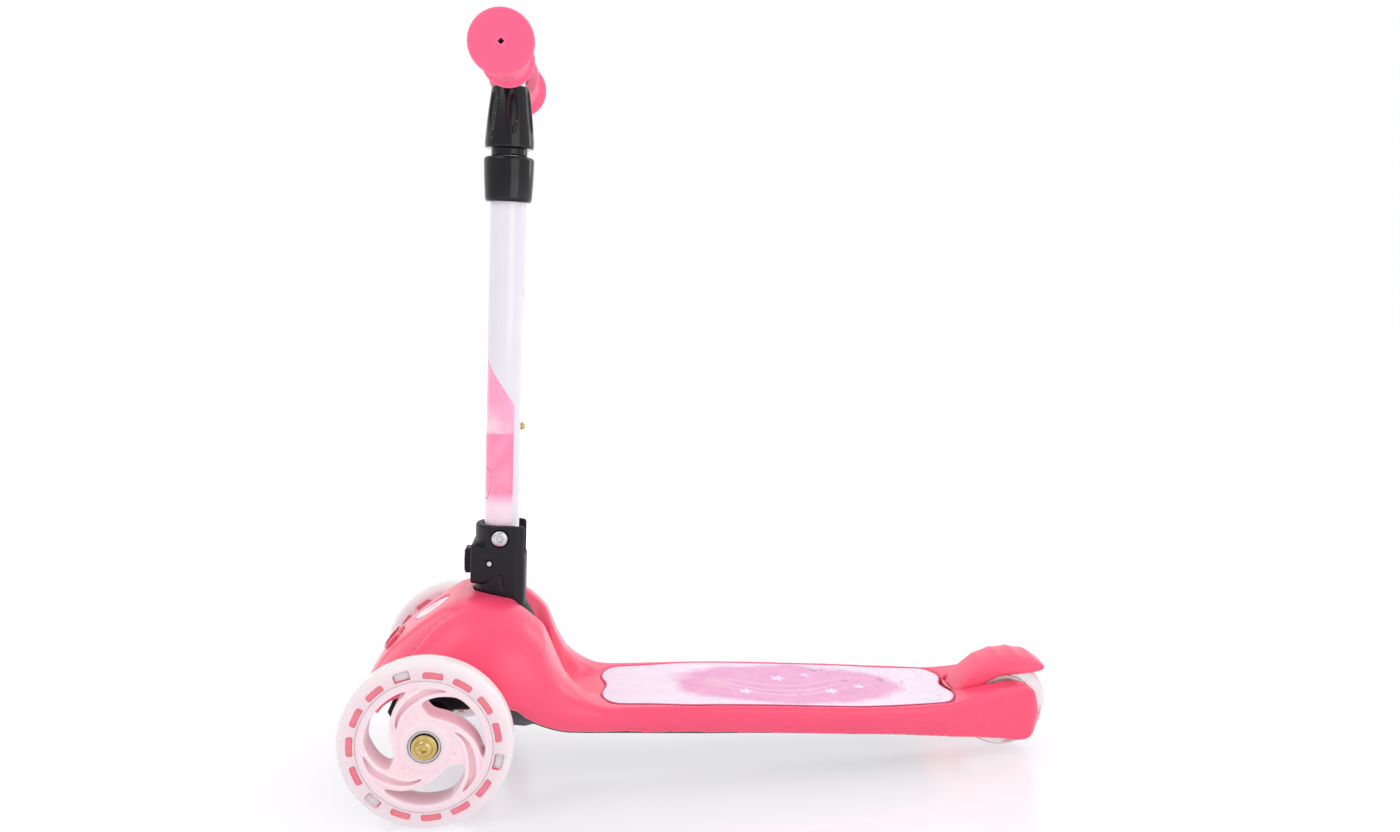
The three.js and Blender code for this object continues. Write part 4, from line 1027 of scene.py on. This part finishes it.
def truck(material):
    """Steering cross-piece: spring beam, kingpin hub and round axle arms."""
    x, y, z, low, step = grid((-40, -96, 40), (37, 96, 88), 1.0 * COARSE)
    across, r = np.abs(y), rod(x, z, FRONT_HUB, 0)

    def outline(points):
        """A convex side view, grown by 0.3 mm."""
        sides = []
        for (ax, az), (bx, bz) in zip(points, points[1:] + points[:1]):
            area = (bz - az) * (x - ax) - (bx - ax) * (z - az)
            sides.append(area / math.hypot(bx - ax, bz - az) + 0.3)
        return overlap(*sides)

    lobe = outline([(-38, 57), (-30, 45), (-16, 42), (-4, 50), (-4, 78), (-30, 74)])
    beam = np.minimum(outline([(-20, 64.5), (24, 64.5), (34, 68), (34, 77), (-4, 84), (-20, 82)]), 9)
    along, up = leaning(x, z, FRONT_HUB, KINGPIN_LEAN)
    pin = np.hypot(along, y)
    hub = meet(pin - 14.8, slab(up, -12, 16), 1.5)
    groove = np.maximum(np.abs(np.mod(across, 12) - 6) - 0.8, 11.0 - r)
    arm = carve(meet(r - 11.8, across - 89.8, 2), np.maximum(groove, 64 - across), 0.5)
    spigot = meet(r - 6.4, across - 94.5, 0.5)
    body = join(meet(lobe, across - 39.8, 3), meet(beam, across - 61.8, 3), 2)
    body = join(join(body, hub, 2), join(arm, spigot, 0.6), 3)
    body = carve(body, np.maximum(r - 4.3, 69.5 - across), 0.3)
    seats = np.minimum(np.maximum(pin - 15.4, 16.2 - up), np.maximum(pin - 10.9, up + 12))
    body = carve(body, np.minimum(pin - 4.35, seats), 0.5)
    piece = moulding("steering_truck", body, low, step, AXLE, material)
    return settle(piece, "steering", "black_plastic", "front_truck")


def belly_cover(material):
    """Ribbed pan closing the deck from below, with counterbored screw holes."""
    x, y, z, low, step = grid((48, -74, 18), (383, 74, 72), 1.0 * COARSE)
    across, edge = np.abs(y), lower_edge(x)
    middle = np.where(x < 200, 28 + (edge - lower_edge(200)) * 0.95, 28 - np.maximum(x - 330, 0) * 0.12)
    middle = middle - 9 * smoothstep(x, 72, 58)
    half = half_width(x) - 7.3
    slope = np.clip((half - 1 - across) / 21, 0, 1) ** 0.8
    under = edge - 0.6 + (middle - edge + 0.7) * slope
    body = meet(slab(z, under, edge + 1.9), across - half, 1)
    body = meet(body, slab(x, 51, 380.8), 1.2)
    rib = np.abs(np.mod(x - 190, 19) - 9.5) - 1.2
    body = carve(body, overlap(rib, across - half + 15, z - under - 0.9, slab(x, 190, 332)), 0.7)
    for screw_x, screw_y in ((100, 40), (350, 38)):
        screw = np.hypot(x - screw_x, across - screw_y)
        counterbore = np.maximum(screw - 3.6, z - lower_edge(np.array([screw_x])) - 0.2)
        body = carve(body, np.minimum(screw - 2.2, counterbore), 0.4)
    piece = moulding("belly_pan", body, low, step, AXLE, material, 2)
    return settle(piece, "deck", "dark_underside", "bottom_cover")


# Materials


def moulded(name, color, roughness, grain, grain_scale, flow, **values):
    """Injection-moulded plastic: faint flow tone, painted highlight along sharp convex edges, fine mould
    grain, handling marks in the gloss.
    """
    s = Shader(name, Base_Color=color, Roughness=roughness, **values)
    tone = s.blend(s.noise(22, 4, 0.6), 0.3, 0.7, shaded(color, 1 - flow), shaded(color, 1 + flow))
    edge = s.node("ShaderNodeNewGeometry", {}, "Pointiness")
    # Painted highlight: sharp convex edges, found by pointiness, are lightened towards pale pink-white.
    edge_highlight = s.mix(s.remap(edge, 0.53, 0.62, 0.0, 0.22), tone, (1.0, 0.93, 0.94, 1))
    marks = s.remap(s.noise(160, 5, 0.7, stretch=(1, 1, 0.4)), 0.3, 0.75, roughness * 0.88, roughness * 1.2)
    return s.finish(edge_highlight, marks, s.bump(s.noise(grain_scale, 2, 0.5), grain, 0.6))


def metal(name, color, roughness, stretch):
    """Plated metal: brushed gloss streaks, faint cloudy tone and tiny pits."""
    s = Shader(name, Base_Color=color, Roughness=roughness, Metallic=1.0)
    streaks = s.noise(900, 3, 0.6, stretch=stretch)
    tone = s.blend(s.noise(90, 4, 0.6), 0.3, 0.7, shaded(color, 0.86), shaded(color, 1.08))
    gloss = s.remap(streaks, 0.3, 0.7, roughness * 0.75, roughness * 1.35)
    return s.finish(tone, gloss, s.bump(streaks, 0.00004, 0.5))


def tube_paint():
    """White lacquer with a wrapped pink film: washes of colour, fine lines, slanted top edge."""
    white = srgb(228, 225, 234)
    s = Shader("white_lacquer_film", Base_Color=white, Roughness=0.16, Coat_Weight=0.5, Coat_Roughness=0.06)
    x, y, z = s.axes(STEM)
    turn = s.math("ARCTAN2", x, y * -1.0)
    inside = s.remap(z + turn * 19.0, 113.5, 113.0) * s.remap(turn, 0.70, 0.68) * s.remap(turn, -2.6, -2.58)
    wash = s.noise(34, 4, 0.6, stretch=(1, 1, 0.6), distort=0.6)
    pale = s.blend(wash, 0.35, 0.62, srgb(248, 170, 202), srgb(248, 142, 182))
    deep = s.blend(wash, 0.4, 0.6, srgb(253, 145, 180), srgb(248, 120, 162))
    edge = z + (wash - 0.5) * 8.0
    color = s.mix(s.remap(edge, 31, 33) * s.remap(edge, 79.5, 78.5), pale, deep)
    color = s.mix(s.remap(z, 22, 34, smooth=True), srgb(248, 218, 232), color)
    glow = s.remap(edge, 78, 80) * s.remap(edge, 104, 88)
    color = s.mix(glow * s.remap(wash, 0.42, 0.6), color, srgb(251, 200, 214))
    line = s.stroke(s.noise(46, 1, 0.4, stretch=(1, 1, 0.35), distort=1.6), 0.5, 0.004, 0.0075)
    line = line * s.remap(turn, -0.1, -0.5) * s.remap(z, 92, 88)
    color = s.mix(line * 0.75, color, srgb(96, 60, 78))
    body = s.blend(s.noise(60, 4), 0.3, 0.7, shaded(white, 0.97), white)
    peel = s.bump(s.noise(300, 2, 0.5), 0.00003, 0.5)
    gloss = s.remap(s.noise(240, 4, 0.7), 0.3, 0.75, 0.12, 0.2)
    return s.finish(s.mix(inside, body, color), gloss, s.bump(inside, 0.00008, 0.6, base=peel))


def mat_print():
    """Pale lilac rubber with a hatched pink wash, petals and loose strokes, and painted shade: a deep pink
    line round its edge for the shadowed groove.
    """
    s = Shader("printed_mat", Base_Color=srgb(240, 226, 242), Roughness=0.5)
    x, y, _ = s.axes(AXLE)
    wash, fine = s.noise(20, 5, 0.62, distort=0.7), s.noise(70, 5, 0.7, distort=0.5)
    pale = s.blend(fine, 0.3, 0.7, srgb(246, 233, 247), srgb(240, 222, 241))
    pink = s.blend(fine, 0.32, 0.68, srgb(246, 198, 228), srgb(238, 172, 214))
    spread = s.length((x - 268.0) / 88.0, y / 46.0) + (wash - 0.5) * 0.5
    zone = s.remap(spread, 1.08, 0.92)
    hatch = s.math("SINE", (x + y) * 2.15)
    color = s.mix(zone, pale, s.blend(hatch, 0.0, 0.8, pink, srgb(232, 140, 190)))
    for px, py, size, tint in ((232, -20, 6, srgb(252, 238, 248)), (262, 12, 7, srgb(250, 232, 246)),
                               (300, -16, 6, srgb(253, 240, 250)), (325, -4, 5, srgb(253, 240, 250)),
                               (286, 22, 5, srgb(250, 230, 244))):
        dx, dy = x - px, y - py
        petal = s.math("COSINE", s.math("ARCTAN2", dy, dx) * 5.0) * 0.3 + 0.7
        color = s.blend(s.length(dx, dy) / (petal * size), 1.0, 0.88, color, tint)
    sweep = y + s.math("SINE", x * 0.03) * 22.0
    for offset in (-6.0, 4.0, 16.0):
        stroke = s.stroke(sweep, offset, 0.35, 0.7) * s.remap(x, 205, 225) * s.remap(x, 330, 300)
        color = s.mix(stroke * 0.8, color, srgb(253, 243, 251))
    glow = s.remap(s.length((x - 212.0) / 15.0, y / 13.0), 1.2, 0.2, smooth=True)
    color = s.mix(glow * 0.22, color, srgb(250, 226, 208))
    scroll = s.length(x - 166.0, y * 0.62)
    gold = s.remap(abs(s.math("SINE", scroll * 1.1)), 0.25, 0.1) * s.remap(scroll, 15, 14)
    color = s.mix(gold * 0.55, color, srgb(240, 208, 172))
    pencil = s.stroke(s.noise(24, 1, 0.4, distort=2.2), 0.5, 0.003, 0.006)
    pencil = pencil * s.remap(x, 215, 235) * s.remap(x, 388, 380)
    color = s.mix(pencil * 0.55, color, srgb(160, 134, 164))
    # Painted shade: deep pink along the mat's edge stands for the shadow in the groove round it.
    groove_shade = s.node("ShaderNodeAttribute", {}, "Fac", attribute_name="groove_shade")
    color = s.mix(groove_shade, color, srgb(204, 88, 132))
    relief = s.bump(hatch * zone, 0.00012, 0.6)
    grain = s.bump(s.noise(1500, 2), 0.00004, 0.5, base=relief)
    return s.finish(color, s.remap(fine, 0.3, 0.7, 0.42, 0.6), grain)


def badge_face():
    """White oval sticker with a pink centre motif of nested petals."""
    s = Shader("oval_badge_face", Base_Color=srgb(250, 246, 250), Roughness=0.2, Coat_Weight=0.6)
    x, y, _ = s.axes(oval_frame("nose_badge")[0])
    r = s.math("SQRT", x * x + y * y * 1.5)
    petals = s.math("COSINE", s.math("ARCTAN2", y, x) * 6.0) * 1.4 + 7.2
    tint = s.blend(s.noise(260, 4), 0.3, 0.7, srgb(255, 150, 178), srgb(250, 116, 152))
    color = s.blend(r - petals, 0.2, -0.2, srgb(252, 248, 251), tint)
    color = s.mix(s.stroke(r, petals, 0.25, 0.45), color, srgb(222, 60, 100))
    color = s.mix(s.stroke(r, 12.8, 0.2, 0.4), color, srgb(246, 170, 190))
    gloss = s.remap(s.noise(600, 3), 0.3, 0.7, 0.16, 0.26)
    return s.finish(color, gloss, s.bump(s.noise(800, 2), 0.00002, 0.4))


def prism_face():
    """Reflector lens: a field of tiny prisms under a clear white face."""
    s = Shader("prismatic_reflector", Base_Color=srgb(248, 244, 246), Roughness=0.12, Coat_Weight=0.8,
               Coat_Roughness=0.04)
    cells = s.node("ShaderNodeTexVoronoi", {"Vector": s.place, "Scale": 520, "Randomness": 0.0}, "Distance",
                   feature="F1", distance="MANHATTAN")
    color = s.blend(cells, 0.0, 0.9, srgb(255, 252, 253), srgb(214, 206, 214))
    gloss = s.remap(s.noise(400, 2), 0.3, 0.7, 0.08, 0.18)
    return s.finish(color, gloss, s.bump(cells, 0.0004, 0.6))


CAST = {"IOR": 1.45, "Subsurface_Radius": (0.006, 0.003, 0.003), "Subsurface_Scale": 1.0}


def clear_cast(name, color, clear, roughness):
    """Clear polyurethane: cloudy depth and faint scuffs."""
    s = Shader(name, Base_Color=color, Roughness=roughness, Transmission_Weight=clear, Subsurface_Weight=0.35,
               **CAST)
    mist = s.noise(55, 4, 0.6, distort=0.4)
    tone = s.blend(mist, 0.3, 0.7, shaded(color, 0.99), shaded(color, 1.01))
    scuff = s.noise(420, 4, 0.7)
    gloss = s.remap(scuff, 0.3, 0.75, roughness * 0.8, roughness * 1.4)
    return s.finish(tone, gloss, s.bump(scuff, 0.00003, 0.4))


def milky_tyre(name, wheel):
    """Milky cast tyre: rosy towards the rim, whiter at the tread, and salmon inside its windows, partly the
    rim's pink seen through them and partly painted shade.
    """
    s = Shader(name, Base_Color=srgb(252, 228, 232), Roughness=0.24, Transmission_Weight=0.12,
               Subsurface_Weight=0.4, **CAST)
    x, y, z = s.axes(wheel)
    r = s.length(x, z)
    mist = s.noise(60, 4, 0.6, distort=0.5)
    reach = s.remap(r + (mist - 0.5) * 3.0, 46.0, 60.0)
    color = s.ramp(reach, (0.0, srgb(255, 228, 233)), (0.3, srgb(255, 228, 234)), (0.55, srgb(255, 232, 238)),
                   (0.8, srgb(255, 240, 244)), (1.0, srgb(255, 247, 249)))
    # Partly painted shade: the salmon in the windows is the rim's pink seen through them, darkened as if in
    # shadow.
    inside = s.remap(abs(y), 10.9, 10.7) * s.remap(r, 53.2, 52.8) * s.remap(r, 46.7, 47.0)
    shaded_salmon = s.blend(mist, 0.3, 0.7, srgb(252, 128, 146), srgb(255, 148, 164))
    scuff = s.noise(420, 4, 0.7)
    gloss = s.remap(scuff, 0.3, 0.75, 0.2, 0.3)
    return s.finish(s.mix(inside, color, shaded_salmon), gloss, s.bump(scuff, 0.00001, 0.3))


SHELL = moulded("coral_shell", srgb(252, 74, 114), 0.36, 0.00002, 1600, 0.02, Coat_Weight=0.35,
                Coat_Roughness=0.28, Subsurface_Weight=0.12, Subsurface_Radius=(0.004, 0.0012, 0.0012),
                Subsurface_Scale=1.0)
BRAKE = moulded("brake_pink", srgb(253, 92, 126), 0.4, 0.00003, 1800, 0.03, Coat_Weight=0.2,
                Coat_Roughness=0.3)
GRIP = moulded("grip_pink", srgb(253, 92, 132), 0.55, 0.00007, 1300, 0.03, Sheen_Weight=0.15)
RIM = moulded("rim_pink", srgb(255, 222, 229), 0.4, 0.00003, 1500, 0.03, Subsurface_Weight=0.5,
              Subsurface_Radius=(0.009, 0.005, 0.005), Subsurface_Scale=1.0)
REAR_RIM = moulded("rear_core_white", srgb(250, 236, 240), 0.4, 0.00003, 1500, 0.03)
TRIM = moulded("trim_red", srgb(232, 40, 84), 0.25, 0.00002, 1500, 0.03, Coat_Weight=0.3)
SATIN_BLACK = moulded("satin_black", srgb(22, 20, 27), 0.42, 0.00005, 1700, 0.12, Specular_IOR_Level=0.3)
GLOSS_BLACK = moulded("gloss_black", srgb(11, 10, 15), 0.13, 0.00001, 900, 0.1, Specular_IOR_Level=0.36)
DARK = moulded("underside_black", srgb(46, 42, 48), 0.5, 0.0001, 1100, 0.12)
STEEL = metal("zinc_steel", srgb(206, 204, 206), 0.3, (1, 1, 1))
GROUND = metal("ground_steel", srgb(198, 198, 202), 0.24, (1, 12, 1))
BRASS = metal("yellow_brass", srgb(206, 182, 116), 0.2, (1, 1, 1))
ANODISED = metal("anodised_tube", srgb(200, 200, 208), 0.34, (1, 1, 20))
CLEAR = clear_cast("clear_urethane", srgb(254, 250, 252), 0.7, 0.05)
LENS = clear_cast("clear_lens", srgb(254, 248, 250), 0.25, 0.08)

# Assembly

deck_shell(SHELL)
deck_mat(mat_print())
brake_lever(BRAKE)
nose_trim(TRIM, prism_face(), badge_face())
belly_cover(DARK)
truck(SATIN_BLACK)
stem_pieces(tube_paint(), GLOSS_BLACK, ANODISED)
connector(GLOSS_BLACK)
handlebar(ANODISED, GRIP)
folding_block(SATIN_BLACK)
pivot_hardware(STEEL)
latch(SATIN_BLACK)
height_button(BRASS)
rear_wheel(REAR_RIM, CLEAR)

for name, side in SIDES:
    wheel = Matrix.Translation(centre(f"front_tyre_{name}"))
    if side > 0:
        wheel = wheel @ Matrix.Rotation(math.pi, 4, "Z")
    body = f"front_wheel_{name}"
    front_rim(name, wheel, body, RIM)
    front_tyre(name, wheel, body, milky_tyre(f"milky_urethane_{name}", wheel))
    wheel_lights(name, wheel, body, LENS)
    axle_bolt(name, side, BRASS)
    for kind, place_y in BEARING_PLACES:
        bearing(f"bearing_{kind}_{name}", place_y, wheel, body, GROUND)
    bearing(f"rear_bearing_{name}", side * REAR_BEARING_PLACE, REAR_WHEEL, "rear_wheel", GROUND)

# Small and hidden pieces keep their CAD shape and only take a material
PAIRED = ("cover_screw_front", "cover_screw_rear", "steering_spring", "magnet_core")
SINGLE = ("kingpin", "kingpin_nut", "rear_axle", "brake_pin", "brake_spring", "latch_spring", "button_clip")
KEPT = {STEEL: SINGLE + tuple(f"{node}_{side}" for node in PAIRED for side, _ in SIDES),
        SATIN_BLACK: ("rear_axle_keeper_left", "rear_axle_keeper_right", "stem_foot")}
for material, nodes in KEPT.items():
    for node in nodes:
        mesh = bpy.data.objects[node].data
        mesh.materials.clear()
        mesh.materials.append(material)

# Studio


def bright_floor():
    """A glossy floor that glows faintly, so that it meets the white world without a dark horizon."""
    s = Shader("studio_floor", Base_Color=(0.38, 0.38, 0.4, 1), Specular_IOR_Level=0.35,
               Emission_Color=(0.98, 0.975, 1, 1))
    s.into("Roughness", s.remap(s.noise(6, 3), 0.3, 0.7, 0.13, 0.2))
    x, y, _ = s.axes()
    s.into("Emission Strength", s.remap(s.length(x, y), 0.35, 1.3, 0.56, 0.8, smooth=True))
    half = 6.0
    points = np.array([(-half, -half, 0), (half, -half, 0), (half, half, 0), (-half, half, 0)]) / MM
    mesh_piece("studio_floor", points, [[0, 1, 2, 3]], Matrix.Identity(4), s.material)


def white_world():
    """White surroundings, a little darker behind the camera."""
    world = bpy.data.worlds.new("studio_world")
    world.use_nodes = True
    nodes, links = world.node_tree.nodes, world.node_tree.links
    direction = nodes.new("ShaderNodeTexCoord")
    lean = nodes.new("ShaderNodeVectorMath")
    lean.operation = "DOT_PRODUCT"
    lean.inputs[1].default_value = (0.5, 0.86, 0)
    fade = nodes.new("ShaderNodeMapRange")
    fade.interpolation_type = "SMOOTHSTEP"
    for socket, value in (("From Min", 0.1), ("From Max", -0.75), ("To Min", 1.0), ("To Max", 0.76)):
        fade.inputs[socket].default_value = value
    links.new(direction.outputs["Generated"], lean.inputs[0])
    links.new(lean.outputs["Value"], fade.inputs["Value"])
    links.new(fade.outputs[0], nodes["Background"].inputs["Strength"])
    nodes["Background"].inputs["Color"].default_value = (1.0, 0.995, 1.0, 1)
    bpy.context.scene.world = world


def softboxes():
    for name, place, aim, width, height, power in (
            ("key_softbox", (-0.9, -0.8, 1.4), (-0.05, 0, 0.15), 0.9, 0.9, 3.6),
            ("front_softbox", (0.8, -1.5, 0.6), (0.1, 0, 0.1), 1.2, 0.9, 4.4),
            ("rim_softbox", (1.2, 0.7, 0.9), (0, 0, 0.15), 0.4, 1.0, 3)):
        data = bpy.data.lights.new(name, "AREA")
        data.shape, data.size, data.size_y, data.energy = "RECTANGLE", width, height, power
        lamp = bpy.data.objects.new(name, data)
        lamp.location = place
        lamp.rotation_euler = (Vector(aim) - Vector(place)).to_track_quat("-Z", "Y").to_euler()
        bpy.context.scene.collection.objects.link(lamp)


def camera():
    """Camera on the rider's left, above the middle of the stem, turned and rolled slightly."""
    yaw, pitch, roll = (math.radians(a) for a in (5.10, 6.35, 0.32))
    ahead = Vector((math.sin(yaw) * math.cos(pitch), math.cos(yaw) * math.cos(pitch), -math.sin(pitch)))
    level = Vector((math.cos(yaw), -math.sin(yaw), 0))
    down = ahead.cross(level)
    right = math.cos(roll) * level + math.sin(roll) * down
    up = math.sin(roll) * level - math.cos(roll) * down
    data = bpy.data.cameras.new("camera")
    data.lens, data.sensor_width = 31.17, 36.0
    made = bpy.data.objects.new("camera", data)
    turn = Matrix((right, up, -ahead)).transposed().to_4x4()
    made.matrix_world = Matrix.Translation((-0.0913, -0.9229, 0.3732)) @ turn
    bpy.context.scene.collection.objects.link(made)
    bpy.context.scene.camera = made


bright_floor()
white_world()
softboxes()
camera()
bpy.context.scene.view_settings.view_transform = "Standard"
